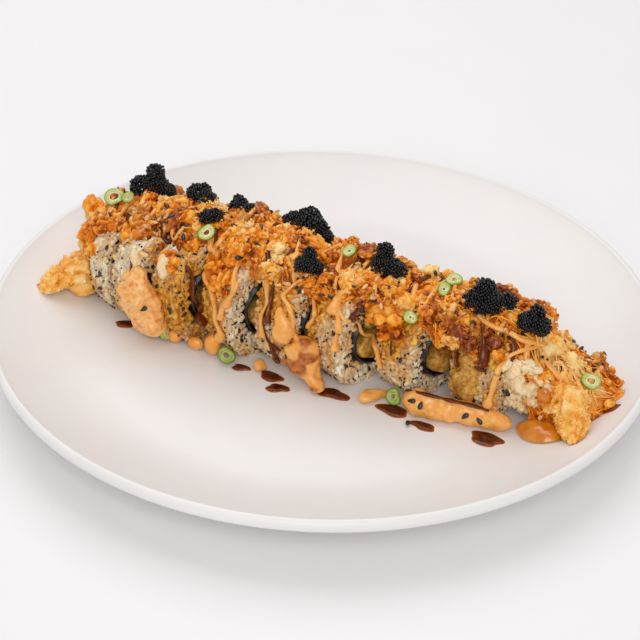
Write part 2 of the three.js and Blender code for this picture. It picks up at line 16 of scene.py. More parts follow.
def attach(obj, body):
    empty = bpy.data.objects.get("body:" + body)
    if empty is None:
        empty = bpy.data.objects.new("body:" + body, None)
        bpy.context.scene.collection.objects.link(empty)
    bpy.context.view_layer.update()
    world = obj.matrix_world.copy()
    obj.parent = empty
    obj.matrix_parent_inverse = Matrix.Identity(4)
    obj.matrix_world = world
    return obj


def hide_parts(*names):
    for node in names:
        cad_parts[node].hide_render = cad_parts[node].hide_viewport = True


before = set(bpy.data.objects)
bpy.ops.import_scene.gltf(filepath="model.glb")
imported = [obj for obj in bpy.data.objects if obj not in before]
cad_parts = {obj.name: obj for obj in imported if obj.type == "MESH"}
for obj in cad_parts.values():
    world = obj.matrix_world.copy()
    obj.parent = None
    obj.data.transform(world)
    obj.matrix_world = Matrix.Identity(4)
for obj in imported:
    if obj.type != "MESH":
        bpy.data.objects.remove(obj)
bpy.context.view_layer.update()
MM = 0.001
print("nodes in the frame:", len(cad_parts))

# %% [markdown]
# ## Camera
# A food photographer's camera looks down at about a third of a right angle, from a little to the right of
# the row. Its place could be found by eye, but here it follows from four readings: how flat the plate's
# round rim looks, how wide it is in the picture, where its middle is and how the picture is tilted.

# %% Camera
VIEW_TURN, VIEW_RISE, VIEW_TILT = (math.radians(a) for a in (19.09, 33.76, 1.70))
VIEW_DISTANCE = 0.6246
VIEW_TARGET = np.array([0.0007, -0.0071, 0.020])

looking = np.array([-math.sin(VIEW_TURN) * math.cos(VIEW_RISE), math.cos(VIEW_TURN) * math.cos(VIEW_RISE), -math.sin(VIEW_RISE)])
level_right = np.array([math.cos(VIEW_TURN), math.sin(VIEW_TURN), 0.0])
level_up = np.cross(level_right, looking)
right = math.cos(VIEW_TILT) * level_right + math.sin(VIEW_TILT) * level_up
up = np.cross(right, looking)

camera = bpy.data.objects.new("camera", bpy.data.cameras.new("camera"))
camera.data.angle = math.radians(22)
camera.data.clip_start = 0.01
pose = np.eye(4)
pose[:3, 0], pose[:3, 1], pose[:3, 2] = right, up, -looking
pose[:3, 3] = VIEW_TARGET - VIEW_DISTANCE * looking
camera.matrix_world = Matrix(pose.tolist())
bpy.context.scene.collection.objects.link(camera)
bpy.context.scene.camera = camera
print("camera at", pose[:3, 3].round(3))

# %% [markdown]
# ## Soft studio light on a pale floor
# The picture is high key: a white sweep, one large soft light from above and behind, and much bounced
# light. A single sun would draw hard shadows, so two large area lights and a bright world are used.

# %% Floor and light
def srgb(red, green, blue):
    """Screen colour to linear light: each channel's share of 255, raised by the sRGB curve."""
    share = np.array([red, green, blue]) / 255.0
    linear = np.where(share <= 0.04045, share / 12.92, ((share + 0.055) / 1.055) ** 2.4)
    return (*linear.tolist(), 1.0)


def area_light(name, place, aim, size, watts):
    """A square soft light at a place, turned so that its -Z looks at the aim."""
    lamp = bpy.data.lights.new(name, "AREA")
    lamp.size, lamp.energy = size, watts
    holder = bpy.data.objects.new(name, lamp)
    back = np.array(place) - np.array(aim)
    back = back / np.linalg.norm(back)
    side = np.cross([0.0, 1.0, 0.0], back)
    side = side / np.linalg.norm(side)
    turn = np.eye(4)
    turn[:3, 0], turn[:3, 1], turn[:3, 2], turn[:3, 3] = side, np.cross(back, side), back, place
    holder.matrix_world = Matrix(turn.tolist())
    bpy.context.scene.collection.objects.link(holder)
    return holder


area_light("light_over", (-0.25, 0.4, 0.95), (0, 0, 0.02), 1.0, 5.2)
area_light("light_front", (0.3, -0.9, 0.7), (0, 0, 0.02), 0.7, 4.6)
world = bpy.data.worlds.new("studio")
world.use_nodes = True
world.node_tree.nodes["Background"].inputs["Color"].default_value = (1.0, 0.99, 0.985, 1.0)
world.node_tree.nodes["Background"].inputs["Strength"].default_value = 0.48
bpy.context.scene.world = world
bpy.context.scene.view_settings.view_transform = "Standard"
print("lights:", [lamp.name for lamp in bpy.data.lights])

# %% [markdown]
# ## Numbers that look random
# Food has no two equal places. Blender has noise textures, but a shape needs its bumps in the mesh, so a
# small noise function works on whole arrays: random heights on a cubic lattice, blended smoothly.

# %% Noise
def lattice(i, j, k, seed):
    """A number in -1..1 for each lattice corner, from integer mixing of its indices and the seed."""
    mixed = (i * 374761393 + j * 668265263 + k * 1440662683 + seed * 982451653) & 0xFFFFFFFF
    mixed = ((mixed ^ (mixed >> 13)) * 1274126177) & 0xFFFFFFFF
    return ((mixed ^ (mixed >> 16)) & 0xFFFF) / 32767.5 - 1.0


def noise(points, size, seed=0):
    """Value noise: the eight corners of the cell of this size round a point, mixed with smooth weights."""
    cell = np.asarray(points) / size
    low = np.floor(cell).astype(np.int64)
    part = cell - low
    part = part * part * (3 - 2 * part)
    total = np.zeros(cell.shape[:-1])
    for corner in range(8):
        step = np.array([corner & 1, (corner >> 1) & 1, corner >> 2])
        weight = np.prod(np.where(step, part, 1 - part), axis=-1)
        total += weight * lattice(*np.moveaxis(low + step, -1, 0), seed)
    return total


def unit(vectors):
    """Vectors divided by their lengths."""
    return vectors / np.maximum(np.linalg.norm(vectors, axis=-1, keepdims=True), 1e-9)


print("noise at two points:", noise([[0.2, 0.1, 0.4], [5.0, 2.0, 1.0]], 3.0).round(3))

# %% [markdown]
# ## From arrays to meshes
# Every shape below is a grid: rings of points one after another. Neighbours on the grid make the quads,
# and a fan of triangles closes each end, so a shape is watertight. Small things, such as grains, are one
# little shape copied thousands of times by arithmetic on one array.

# %% Grids and skins
def grid_faces(rows, columns, wrap_rows=False):
    """Quads between neighbours; columns always close on themselves, and rows do when asked."""
    row = np.arange(rows if wrap_rows else rows - 1)[:, None]
    column = np.arange(columns)[None, :]
    below, beside = (row + 1) % rows, (column + 1) % columns
    corners = [row * columns + column, row * columns + beside, below * columns + beside, below * columns + column]
    return np.stack(np.broadcast_arrays(*corners), -1).reshape(-1, 4)


def outward(points, faces):
    """Turn all faces round where the signed volume, a sum of corner products, comes out negative."""
    volume = 0.0
    for block in faces:
        for last in range(2, block.shape[1]):
            edge = np.cross(points[block[:, last - 1]], points[block[:, last]])
            volume += np.einsum("ni,ni->", points[block[:, 0]], edge)
    return points, faces if volume > 0 else [block[:, ::-1] for block in faces]


def capped_faces(rows, columns):
    """Quads between rings, and a fan from each end ring to the extra point that closes it."""
    here = np.arange(columns)
    beside = (here + 1) % columns
    first, last = rows * columns, rows * columns + 1
    end = (rows - 1) * columns
    fans = [np.stack([np.full(columns, first), beside, here], 1)]
    fans.append(np.stack([np.full(columns, last), end + here, end + beside], 1))
    return [grid_faces(rows, columns), np.concatenate(fans)]


def capped(rings, ends=None):
    """A closed skin over rings (rows, columns, 3), its ends closed at the rings' middles or at given points."""
    rows, columns, _ = rings.shape
    ends = rings[[0, -1]].mean(axis=1) if ends is None else np.asarray(ends)
    return outward(np.concatenate([rings.reshape(-1, 3), ends]), capped_faces(rows, columns))


def ball(around, rings):
    """A unit ball: rings of latitude, with a point at each pole."""
    latitude = np.linspace(-math.pi / 2, math.pi / 2, rings + 2)[1:-1, None]
    longitude = np.linspace(0, 2 * math.pi, around, endpoint=False)[None, :]
    x, y = np.cos(latitude) * np.cos(longitude), np.cos(latitude) * np.sin(longitude)
    return capped(np.stack([x, y, np.broadcast_to(np.sin(latitude), x.shape)], -1), [[0, 0, -1], [0, 0, 1]])


print("faces of a small ball:", sum(len(block) for block in ball(6, 4)[1]))

# %% Copies and strands
def standing(normals, rng, along=None):
    """A turned frame on each normal: z is the normal, and x is a random or given direction across it."""
    guide = rng.normal(size=normals.shape) if along is None else along
    x = unit(guide - np.sum(guide * normals, -1, keepdims=True) * normals)
    return np.stack([x, np.cross(normals, x), normals], axis=-1)


def scatter(shape, places, turns, sizes, **values):
    """Copies of a small shape: its points times a copy's sizes, turned by its frame, moved to its place.
    A third entry of the shape is a value per point, which every copy repeats as its painted crease shade."""
    points, faces = shape[:2]
    spread = np.einsum("nij,nvj->nvi", turns, points[None] * sizes[:, None, :]) + places[:, None, :]
    shift = (np.arange(len(places)) * len(points))[:, None, None]
    blocks = [(block[None] + shift).reshape(-1, block.shape[1]) for block in faces]
    repeated = {key: np.repeat(value, len(points)) for key, value in values.items()}
    if len(shape) > 2:
        repeated["relief"] = np.tile(shape[2], len(places))
    return spread.reshape(-1, 3), blocks, repeated


def tubes(paths, radii, sides=6, flat=1.0, **values):
    """Strands: a circle of points square to each path (strands, steps, 3), closed at both ends."""
    count, steps, _ = paths.shape
    tangent = unit(np.gradient(paths, axis=1))
    side = unit(np.cross(tangent, [0.13, 0.21, 0.97]))
    rise = np.cross(side, tangent)
    angle = np.linspace(0, 2 * math.pi, sides, endpoint=False)[None, None, :, None]
    ring = side[:, :, None] * np.cos(angle) + flat * rise[:, :, None] * np.sin(angle)
    skin = (paths[:, :, None] + radii[:, :, None, None] * ring).reshape(count, -1, 3)
    points = np.concatenate([skin, paths[:, [0, -1]]], axis=1)
    faces = outward(points[0], capped_faces(steps, sides))[1]
    shift = (np.arange(count) * points.shape[1])[:, None, None]
    blocks = [(block[None] + shift).reshape(-1, block.shape[1]) for block in faces]
    repeated = {key: np.repeat(value, points.shape[1]) for key, value in values.items()}
    return points.reshape(-1, 3), blocks, repeated


def spline(stations, count):
    """A smooth curve through stations: each point blends the four nearest by the Catmull-Rom weights."""
    stations = np.asarray(stations, float)
    padded = np.concatenate([2 * stations[:1] - stations[1:2], stations, 2 * stations[-1:] - stations[-2:-1]])
    place = np.linspace(0, len(stations) - 1, count)
    index = np.minimum(place.astype(int), len(stations) - 2)
    t = (place - index)[:, None]
    a, b, c, d = (padded[index + step] for step in range(4))
    return 0.5 * (2 * b + (c - a) * t + (2 * a - 5 * b + 4 * c - d) * t**2 + (3 * b - a - 3 * c + d) * t**3)


def clump(around, rings, rough, seed, scales=3):
    """A unit ball with unsigned noise at one to three sizes added to its radius; the same noise also comes back as
    painted shade, paler on the bulges and darker in the creases.
    """
    points, faces = ball(around, rings)
    sizes = [(1.0, 1.3), (0.6, 2.6), (0.35, 5.2)][:scales]
    folds = sum(share * (1.6 * np.abs(noise(points * size, 1.0, seed + step)) - 0.5) for step, (share, size) in enumerate(sizes))
    return points * (1 + rough * np.tanh(folds))[:, None], faces, 0.6 * np.tanh(folds)


print("a curve's middle:", spline([[0, 0], [1, 1], [2, 0]], 3)[1])

# %% Make an object
def put(name, parts, look, slot, *stands_for):
    """One object from parts (points in mm, blocks of faces, values per point), riding on the dish. The
    values become float attributes, which the materials read."""
    starts = np.cumsum([0] + [len(part[0]) for part in parts])
    blocks = [block + start for start, part in zip(starts, parts) for block in part[1]]
    corners = np.concatenate([block.ravel() for block in blocks]).astype(np.int32)
    sizes = np.concatenate([np.full(len(block), block.shape[1]) for block in blocks])
    mesh = bpy.data.meshes.new(name)
    mesh.vertices.add(int(starts[-1]))
    points = np.concatenate([part[0] for part in parts]) * MM
    mesh.vertices.foreach_set("co", points.astype(np.float32).ravel())
    mesh.loops.add(len(corners))
    mesh.loops.foreach_set("vertex_index", corners)
    mesh.polygons.add(len(sizes))
    mesh.polygons.foreach_set("loop_start", np.concatenate([[0], np.cumsum(sizes)[:-1]]).astype(np.int32))
    mesh.polygons.foreach_set("use_smooth", np.ones(len(sizes), bool))
    mesh.update(calc_edges=True)
    for key in sorted({key for part in parts for key in part[2]}):
        spread = [np.broadcast_to(part[2].get(key, 0.0), len(part[0])) for part in parts]
        layer = mesh.attributes.new(key, "FLOAT", "POINT")
        layer.data.foreach_set("value", np.concatenate(spread).astype(np.float32))
    mesh.materials.append(look)
    made = bpy.data.objects.new(name, mesh)
    bpy.context.scene.collection.objects.link(made)
    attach(made, "root")
    if stands_for:
        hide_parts(*stands_for)
    print(f"{name}: {int(np.sum(sizes - 2))} triangles")
    return made


# %% [markdown]
# ## Shared surface effects
# Two effects come back in nearly every food: cloudy changes of colour, and a fine skin of bumps. Each is
# a node group with its sizes in millimetres as inputs, so a material only says how large and how deep.

# %% Node groups
def add_node(tree, kind, **settings):
    """A node of a kind, with its plain settings."""
    made = tree.nodes.new("ShaderNode" + kind)
    for key, value in settings.items():
        setattr(made, key, value)
    return made


def new_group(name, inputs, output, output_type):
    """An empty shader group with named float inputs and one output."""
    group = bpy.data.node_groups.new(name, "ShaderNodeTree")
    for label, value in inputs.items():
        socket = group.interface.new_socket(label, in_out="INPUT", socket_type="NodeSocketFloat")
        socket.default_value = value
    group.interface.new_socket(output, in_out="OUTPUT", socket_type=output_type)
    return group, group.nodes.new("NodeGroupInput"), group.nodes.new("NodeGroupOutput")


def cloud(group, size_socket, detail):
    """Noise whose patches have the size that the socket gives in millimetres."""
    place = add_node(group, "TexCoord")
    scale = add_node(group, "Math", operation="DIVIDE")
    scale.inputs[0].default_value = 1000.0
    texture = add_node(group, "TexNoise")
    texture.inputs["Detail"].default_value = detail
    group.links.new(size_socket, scale.inputs[1])
    group.links.new(place.outputs["Object"], texture.inputs["Vector"])
    group.links.new(scale.outputs[0], texture.inputs["Scale"])
    return texture.outputs["Fac"]


mottle, entry, leave = new_group("mottle", {"Patch mm": 5.0, "Contrast": 2.0}, "Mask", "NodeSocketFloat")
centred = add_node(mottle, "Math", operation="SUBTRACT")
centred.inputs[1].default_value = 0.5
stretched = add_node(mottle, "Math", operation="MULTIPLY_ADD", use_clamp=True)
stretched.inputs[2].default_value = 0.5
mottle.links.new(cloud(mottle, entry.outputs["Patch mm"], 3.0), centred.inputs[0])
mottle.links.new(centred.outputs[0], stretched.inputs[0])
mottle.links.new(entry.outputs["Contrast"], stretched.inputs[1])
mottle.links.new(stretched.outputs[0], leave.inputs["Mask"])

skin_bumps, entry, leave = new_group("skin bumps", {"Bump mm": 1.0, "Depth mm": 0.1}, "Normal", "NodeSocketVector")
depth = add_node(skin_bumps, "Math", operation="MULTIPLY")
depth.inputs[1].default_value = MM
bump = add_node(skin_bumps, "Bump")
skin_bumps.links.new(cloud(skin_bumps, entry.outputs["Bump mm"], 2.0), bump.inputs["Height"])
skin_bumps.links.new(entry.outputs["Depth mm"], depth.inputs[0])
skin_bumps.links.new(depth.outputs[0], bump.inputs["Distance"])
skin_bumps.links.new(bump.outputs["Normal"], leave.inputs["Normal"])
print("groups:", [group.name for group in bpy.data.node_groups])

# %% Parts of a material
class Look:
    """A material under construction: its tree, its Principled shader and short ways to feed it."""

    def __init__(self, name, roughness, **constants):
        self.material = bpy.data.materials.new(name)
        self.material.use_nodes = True
        self.tree = self.material.node_tree
        self.shader = self.tree.nodes["Principled BSDF"]
        self.shader.inputs["Roughness"].default_value = roughness
        for key, value in constants.items():
            self.shader.inputs[key.replace("_", " ")].default_value = value

    def group(self, group, **inputs):
        placed = add_node(self.tree, "Group", node_tree=group)
        for key, value in inputs.items():
            placed.inputs[key.replace("_", " ")].default_value = value
        return placed.outputs[0]

    def reading(self, name):
        return add_node(self.tree, "Attribute", attribute_name=name).outputs["Fac"]

    def maths(self, operation, first, second, third=0.0, clamp=False):
        placed = add_node(self.tree, "Math", operation=operation, use_clamp=clamp)
        for socket, value in zip(placed.inputs, (first, second, third)):
            if isinstance(value, (int, float)):
                socket.default_value = value
            else:
                self.tree.links.new(value, socket)
        return placed.outputs[0]

    def ramp(self, factor, *stops):
        placed = add_node(self.tree, "ValToRGB")
        stock = placed.color_ramp.elements
        while len(stock) < len(stops):
            stock.new(0.5)
        for element, (position, colour) in zip(stock, stops):
            element.position, element.color = position, srgb(*colour)
        self.tree.links.new(factor, placed.inputs["Fac"])
        return placed.outputs["Color"]

    def mix(self, factor, first, second):
        placed = add_node(self.tree, "Mix", data_type="RGBA")
        for index, value in ((0, factor), (6, first), (7, second)):
            self.tree.links.new(value, placed.inputs[index])
        return placed.outputs[2]

    def feed(self, socket, value):
        self.tree.links.new(value, self.shader.inputs[socket])

    def bumps(self, size, deep):
        self.feed("Normal", self.group(skin_bumps, Bump_mm=size, Depth_mm=deep))


print("ready to mix finishes")

# %% [markdown]
# ## Finishes
# Porcelain is bright, nearly colourless and mirror smooth under its glaze, with an unglazed foot. Rice
# is pale and a little see-through, and soaks up sauce. The heap goes from pale peach through orange to a
# lacquered brown where the sweet sauce pools. Each finish is a ramp of colours read off by a value that
# the mesh carries (tone, stain or glaze; on the heap also a painted shade of its creases), with the mottle group
# stirring it.

# %% Porcelain, rice and seaweed
porcelain = Look("porcelain", 0.4, Coat_Weight=0.1, Coat_Roughness=0.3)
clouds = porcelain.group(mottle, Patch_mm=26.0, Contrast=1.6)
glazed = porcelain.ramp(clouds, (0.0, (238, 235, 233)), (1.0, (243, 240, 238)))
bisque = porcelain.ramp(porcelain.group(mottle, Patch_mm=0.7, Contrast=2.5), (0.0, (205, 198, 190)), (1.0, (224, 218, 210)))
height = add_node(porcelain.tree, "SeparateXYZ")
porcelain.tree.links.new(add_node(porcelain.tree, "TexCoord").outputs["Object"], height.inputs[0])
foot = porcelain.maths("LESS_THAN", height.outputs["Z"], 0.7 * MM)
porcelain.feed("Base Color", porcelain.mix(foot, glazed, bisque))
porcelain.feed("Roughness", porcelain.maths("MULTIPLY_ADD", foot, 0.3, 0.4))
porcelain.bumps(14.0, 0.05)

rice = Look("rice", 0.4, Specular_IOR_Level=0.3, Subsurface_Weight=0.12, Subsurface_Scale=0.001, Subsurface_Radius=(1.0, 0.85, 0.7), Coat_Roughness=0.15)
stirred = rice.group(mottle, Patch_mm=2.6, Contrast=2.0)
plain = rice.ramp(rice.reading("tone"), (0.0, (208, 196, 172)), (0.5, (240, 226, 194)), (1.0, (255, 246, 212)))
sauced = rice.ramp(stirred, (0.0, (128, 66, 0)), (0.45, (212, 138, 18)), (1.0, (255, 204, 90)))
soaked = rice.maths("MULTIPLY_ADD", stirred, 0.46, rice.maths("MULTIPLY_ADD", rice.reading("stain"), 1.45, -0.26), clamp=True)
rice.feed("Base Color", rice.mix(soaked, plain, sauced))
rice.feed("Coat Weight", rice.maths("MULTIPLY", soaked, 0.5))
rice.bumps(1.1, 0.1)

seaweed = Look("seaweed", 0.4, Coat_Weight=0.2)
fibres = seaweed.group(mottle, Patch_mm=0.8, Contrast=3.0)
seaweed.feed("Base Color", seaweed.ramp(fibres, (0.0, (7, 8, 6)), (0.7, (15, 17, 12)), (1.0, (26, 29, 19))))
seaweed.bumps(0.6, 0.12)

speck = Look("speck", 0.3, Coat_Weight=0.4)
speck.feed("Base Color", speck.ramp(speck.group(mottle, Patch_mm=1.2, Contrast=2.0), (0.0, (10, 9, 9)), (1.0, (42, 34, 28))))
speck.bumps(0.4, 0.05)
print("porcelain, rice, seaweed and specks mixed")

# %% Batter, avocado, crab and topping
batter = Look("batter", 0.45, Specular_IOR_Level=0.3, Coat_Weight=0.12, Coat_Roughness=0.3)
fried = batter.maths("MULTIPLY_ADD", batter.group(mottle, Patch_mm=1.6, Contrast=2.6), 0.5, batter.maths("MULTIPLY", batter.reading("tone"), 0.62), clamp=True)
batter.feed("Base Color", batter.ramp(fried, (0.0, (100, 58, 10)), (0.3, (166, 110, 30)), (0.58, (208, 150, 58)), (1.0, (246, 206, 124))))
batter.bumps(0.9, 0.4)

crust = Look("crust", 0.45, Specular_IOR_Level=0.3, Coat_Weight=0.08)
crisp = crust.maths("MULTIPLY_ADD", crust.group(mottle, Patch_mm=2.2, Contrast=2.4), 0.45, crust.maths("MULTIPLY", crust.reading("tone"), 0.62), clamp=True)
crust.feed("Base Color", crust.ramp(crisp, (0.0, (174, 92, 8)), (0.3, (236, 150, 42)), (0.6, (255, 196, 98)), (1.0, (255, 232, 176))))
crust.bumps(0.8, 0.3)

avocado = Look("avocado", 0.38, Subsurface_Weight=0.1, Subsurface_Scale=0.001, Coat_Weight=0.2)
avocado.feed("Base Color", avocado.ramp(avocado.group(mottle, Patch_mm=3.5, Contrast=2.4), (0.0, (108, 96, 24)), (0.5, (158, 140, 48)), (1.0, (206, 186, 100))))
avocado.bumps(1.2, 0.1)

crab_flesh = Look("crab flesh", 0.4, Subsurface_Weight=0.15, Subsurface_Scale=0.001)
crab_flesh.feed("Base Color", crab_flesh.ramp(crab_flesh.group(mottle, Patch_mm=2.0, Contrast=2.2), (0.0, (246, 206, 142)), (1.0, (255, 238, 200))))
crab_flesh.bumps(0.7, 0.12)

topping = Look("crab topping", 0.45, Specular_IOR_Level=0.2, Coat_Roughness=0.08)
stir = topping.group(mottle, Patch_mm=1.8, Contrast=2.2)
# Painted shade: the height of the lumps and clumps, read from the mesh, makes the colour darker in their creases and
# paler on their tops, in the salad and in the lacquer.
tone_and_painted_shade = topping.maths("MULTIPLY_ADD", topping.reading("relief"), 0.7, topping.reading("tone"))
shade = topping.maths("MULTIPLY_ADD", stir, 0.24, topping.maths("MULTIPLY_ADD", tone_and_painted_shade, 0.9, -0.06), clamp=True)
salad = topping.ramp(shade, (0.0, (92, 34, 0)), (0.2, (186, 84, 0)), (0.45, (244, 142, 20)), (0.7, (255, 184, 74)), (1.0, (255, 222, 152)))
lacquer = topping.ramp(topping.maths("MULTIPLY_ADD", stir, 0.5, topping.maths("MULTIPLY", tone_and_painted_shade, 0.6), clamp=True), (0.0, (52, 14, 0)), (0.5, (136, 54, 0)), (1.0, (222, 122, 14)))
glazed_by = topping.reading("glaze")
topping.feed("Base Color", topping.mix(glazed_by, salad, lacquer))
topping.feed("Roughness", topping.maths("MULTIPLY_ADD", glazed_by, -0.26, 0.42))
topping.feed("Coat Weight", topping.maths("MULTIPLY_ADD", glazed_by, 0.4, 0.1))
topping.bumps(1.2, 0.22)
print("fried and mixed foods done")

# %% Sauces, roe, seeds and scallion
mayonnaise = Look("chilli mayonnaise", 0.3, Specular_IOR_Level=0.4, Subsurface_Weight=0.2, Subsurface_Scale=0.002, Coat_Weight=0.35, Coat_Roughness=0.1)
flecked = mayonnaise.group(mottle, Patch_mm=1.5, Contrast=2.4)
body = mayonnaise.ramp(mayonnaise.group(mottle, Patch_mm=5.0, Contrast=2.2), (0.0, (240, 146, 38)), (1.0, (255, 188, 90)))
fleck = mayonnaise.ramp(flecked, (0.0, (234, 134, 46)), (0.35, (250, 176, 92)), (1.0, (255, 208, 140)))
under = mayonnaise.mix(mayonnaise.reading("fleck"), body, fleck)
drowned = mayonnaise.ramp(mayonnaise.group(mottle, Patch_mm=2.0, Contrast=2.0), (0.0, (130, 54, 0)), (1.0, (224, 128, 30)))
mayonnaise.feed("Base Color", mayonnaise.mix(mayonnaise.reading("glaze"), under, drowned))
mayonnaise.bumps(2.4, 0.16)

dark_sauce = Look("dark sweet sauce", 0.08, Specular_IOR_Level=0.4, Coat_Roughness=0.04)
deep = dark_sauce.maths("MULTIPLY_ADD", dark_sauce.group(mottle, Patch_mm=2.5, Contrast=1.6), 0.24, dark_sauce.reading("thick"), clamp=True)
dark_sauce.feed("Base Color", dark_sauce.ramp(deep, (0.0, (200, 110, 18)), (0.4, (116, 44, 0)), (1.0, (46, 12, 0))))
dark_sauce.bumps(4.0, 0.06)

amber = Look("amber sauce", 0.14, Subsurface_Weight=0.3, Subsurface_Scale=0.003, Coat_Weight=0.6, Coat_Roughness=0.05)
amber.feed("Base Color", amber.ramp(amber.group(mottle, Patch_mm=5.0, Contrast=2.0), (0.0, (202, 110, 4)), (1.0, (238, 158, 40))))
amber.bumps(5.0, 0.08)

roe = Look("black roe", 0.22, Specular_IOR_Level=0.5)
roe.feed("Base Color", roe.ramp(roe.group(mottle, Patch_mm=1.4, Contrast=2.4), (0.0, (3, 3, 4)), (1.0, (18, 17, 21))))
roe.bumps(0.5, 0.03)

pale_seed = Look("toasted sesame", 0.4)
pale_seed.feed("Base Color", pale_seed.ramp(pale_seed.group(mottle, Patch_mm=1.8, Contrast=2.4), (0.0, (204, 136, 60)), (1.0, (248, 206, 140))))
pale_seed.bumps(0.5, 0.05)

leek = Look("scallion", 0.3, Subsurface_Weight=0.15, Subsurface_Scale=0.001, Coat_Weight=0.4)
layers = leek.maths("MULTIPLY_ADD", leek.group(mottle, Patch_mm=1.5, Contrast=1.8), 0.2, leek.reading("tone"), clamp=True)
leek.feed("Base Color", leek.ramp(layers, (0.0, (92, 120, 22)), (0.4, (156, 178, 58)), (0.75, (210, 214, 130)), (1.0, (238, 234, 196))))
leek.bumps(0.8, 0.06)
print("materials:", len(bpy.data.materials))

# %% [markdown]
# ## The floor and the plate
# A potter turns a coupe plate: a flat well, a wall that curls up with no separate rim, and a foot ring.
# Spinning a profile is a grid too: the profile's points are the rows, and the turn's angles the columns.

# %% Floor
floor_mesh = bpy.data.meshes.new("floor")
floor_mesh.from_pydata([(-3, -3, 0), (3, -3, 0), (3, 3, 0), (-3, 3, 0)], [], [(0, 1, 2, 3)])
floor = bpy.data.objects.new("floor", floor_mesh)
paper = Look("paper sweep", 0.7)
paper.feed("Base Color", paper.ramp(paper.group(mottle, Patch_mm=60.0, Contrast=1.0), (0.0, (246, 244, 245)), (1.0, (249, 247, 248))))
floor_mesh.materials.append(paper.material)
bpy.context.scene.collection.objects.link(floor)
print("floor laid")

# %% Plate
RIM_RADIUS, RIM_HEIGHT = 127.0, 22.5
WELL_RADIUS, WELL_HEIGHT = 86.0, 7.0
LIP_RADIUS, LIP_HEIGHT = 123.4, 21.2
UNDER, FOOT_OUTER, FOOT_INNER = 2.8, 71.0, 66.0


def plate_height(radius):
    """The plate's upper face: level in the well, then the share of the way to the lip, to the power 1.8."""
    share = np.clip((np.asarray(radius) - WELL_RADIUS) / (LIP_RADIUS - WELL_RADIUS), 0, None)
    return WELL_HEIGHT + (LIP_HEIGHT - WELL_HEIGHT) * share**1.8


def plate_profile():
    """Upper face from the middle out, round the lip, and back along the underside over the foot."""
    top = np.concatenate([np.linspace(2, WELL_RADIUS, 14), np.linspace(WELL_RADIUS, LIP_RADIUS, 16)[1:]])
    lip = spline([[LIP_RADIUS, LIP_HEIGHT], [125.2, RIM_HEIGHT], [RIM_RADIUS, 21.1], [126.4, 18.1]], 14)[1:]
    wall = spline([[126.4, 18.1], [112, 10.4], [96, 4.6], [FOOT_OUTER + 1.5, UNDER]], 18)[1:]
    foot_ring = [[71.6, 1.4], [FOOT_OUTER - 0.2, 0.25], [FOOT_OUTER - 1, 0], [FOOT_INNER + 1, 0], [65.8, 0.25], [65.2, 1.6], [64.2, UNDER], [30, UNDER], [2, UNDER]]
    return np.concatenate([np.stack([top, plate_height(top)], 1), lip, wall, foot_ring])


profile = plate_profile()
turn = np.linspace(0, 2 * math.pi, 144, endpoint=False)
rings = np.stack([profile[:, :1] * np.cos(turn), profile[:, :1] * np.sin(turn), np.repeat(profile[:, 1:], len(turn), 1)], -1)
put("plate_turned", [(*capped(rings), {})], porcelain.material, "porcelain", "plate")

# %% [markdown]
# ## Rice
# Short-grain rice is boiled, seasoned and pressed round a sheet of seaweed in a bamboo mat, which leaves
# the roll a rounded square. A bumpy ring with a rice texture would look like foam from close by, so every
# grain that shows is a grain: staggered rows with jitter, half sunk in a plain core.

# %% Slices and their frames
SLICES = [
    {"x": -77.5, "y": 1.5, "radius": 19.0, "thickness": 10.0, "yaw": 30.0},
    {"x": -63.0, "y": -4.5, "radius": 20.0, "thickness": 13.5, "yaw": 30.0},
    {"x": -44.5, "y": -6.5, "radius": 20.5, "thickness": 15.0, "yaw": 30.0},
    {"x": -23.3, "y": -7.0, "radius": 20.5, "thickness": 16.5, "yaw": 28.0},
    {"x": -1.5, "y": -9.8, "radius": 19.7, "thickness": 17.5, "yaw": 26.0},
    {"x": 19.5, "y": -10.8, "radius": 19.3, "thickness": 16.5, "yaw": 28.0},
    {"x": 44.5, "y": -9.5, "radius": 18.0, "thickness": 17.0, "yaw": 27.0},
    {"x": 71.0, "y": -10.0, "radius": 17.0, "thickness": 19.0, "yaw": 16.0},
]
RICE_THICKNESS, CLEARANCE, SEAT = 7.0, 0.35, 0.92
SLICE_WIDTH, SLICE_SQUARE = 1.1, 3.0


def outline(angle):
    """A pressed slice's outline at an angle: |cos|^3 + |sin|^3 = 1 scales the circle, then 1.1 widens it."""
    side, rise = np.cos(angle), np.sin(angle)
    reach = (np.abs(side) ** SLICE_SQUARE + np.abs(rise) ** SLICE_SQUARE) ** (-1 / SLICE_SQUARE)
    return np.stack([0 * angle, side * reach * SLICE_WIDTH, rise * reach], -1)


def outline_normal(angle):
    """Outward direction of the outline: the slope of its equation in both directions."""
    side, rise = np.cos(angle), np.sin(angle)
    return unit(np.stack([0 * angle, np.sign(side) * side**2 / SLICE_WIDTH, np.sign(rise) * rise**2], -1))


def slice_turn(cut):
    """The slice's own axes: x out of its right-hand cut, y away from the viewer, z up."""
    c, s = math.cos(math.radians(cut["yaw"])), math.sin(math.radians(cut["yaw"]))
    return np.array([[c, s, 0], [-s, c, 0], [0, 0, 1.0]])


def placed(cut, points):
    """Points of a slice's own frame, in the dish's frame."""
    middle = [cut["x"], cut["y"], WELL_HEIGHT + CLEARANCE + SEAT * cut["radius"]]
    return points @ slice_turn(cut).T + middle


print("slices:", len(SLICES), "from x", SLICES[0]["x"], "to", SLICES[-1]["x"], "mm")

# %% Grains of one slice
GRAIN = (2.0, 1.1, 0.95)
grain_points, grain_faces = ball(7, 5)
grain_points = grain_points[:, [2, 0, 1]]
grain_points[:, 2] += 0.22 * grain_points[:, 0] ** 2
GRAIN_SHAPE = outward(grain_points, grain_faces)


def squash(wave, power):
    """A wave pushed towards -1 and 1, which turns a round section into a rounded box."""
    return np.sign(wave) * np.abs(wave) ** power


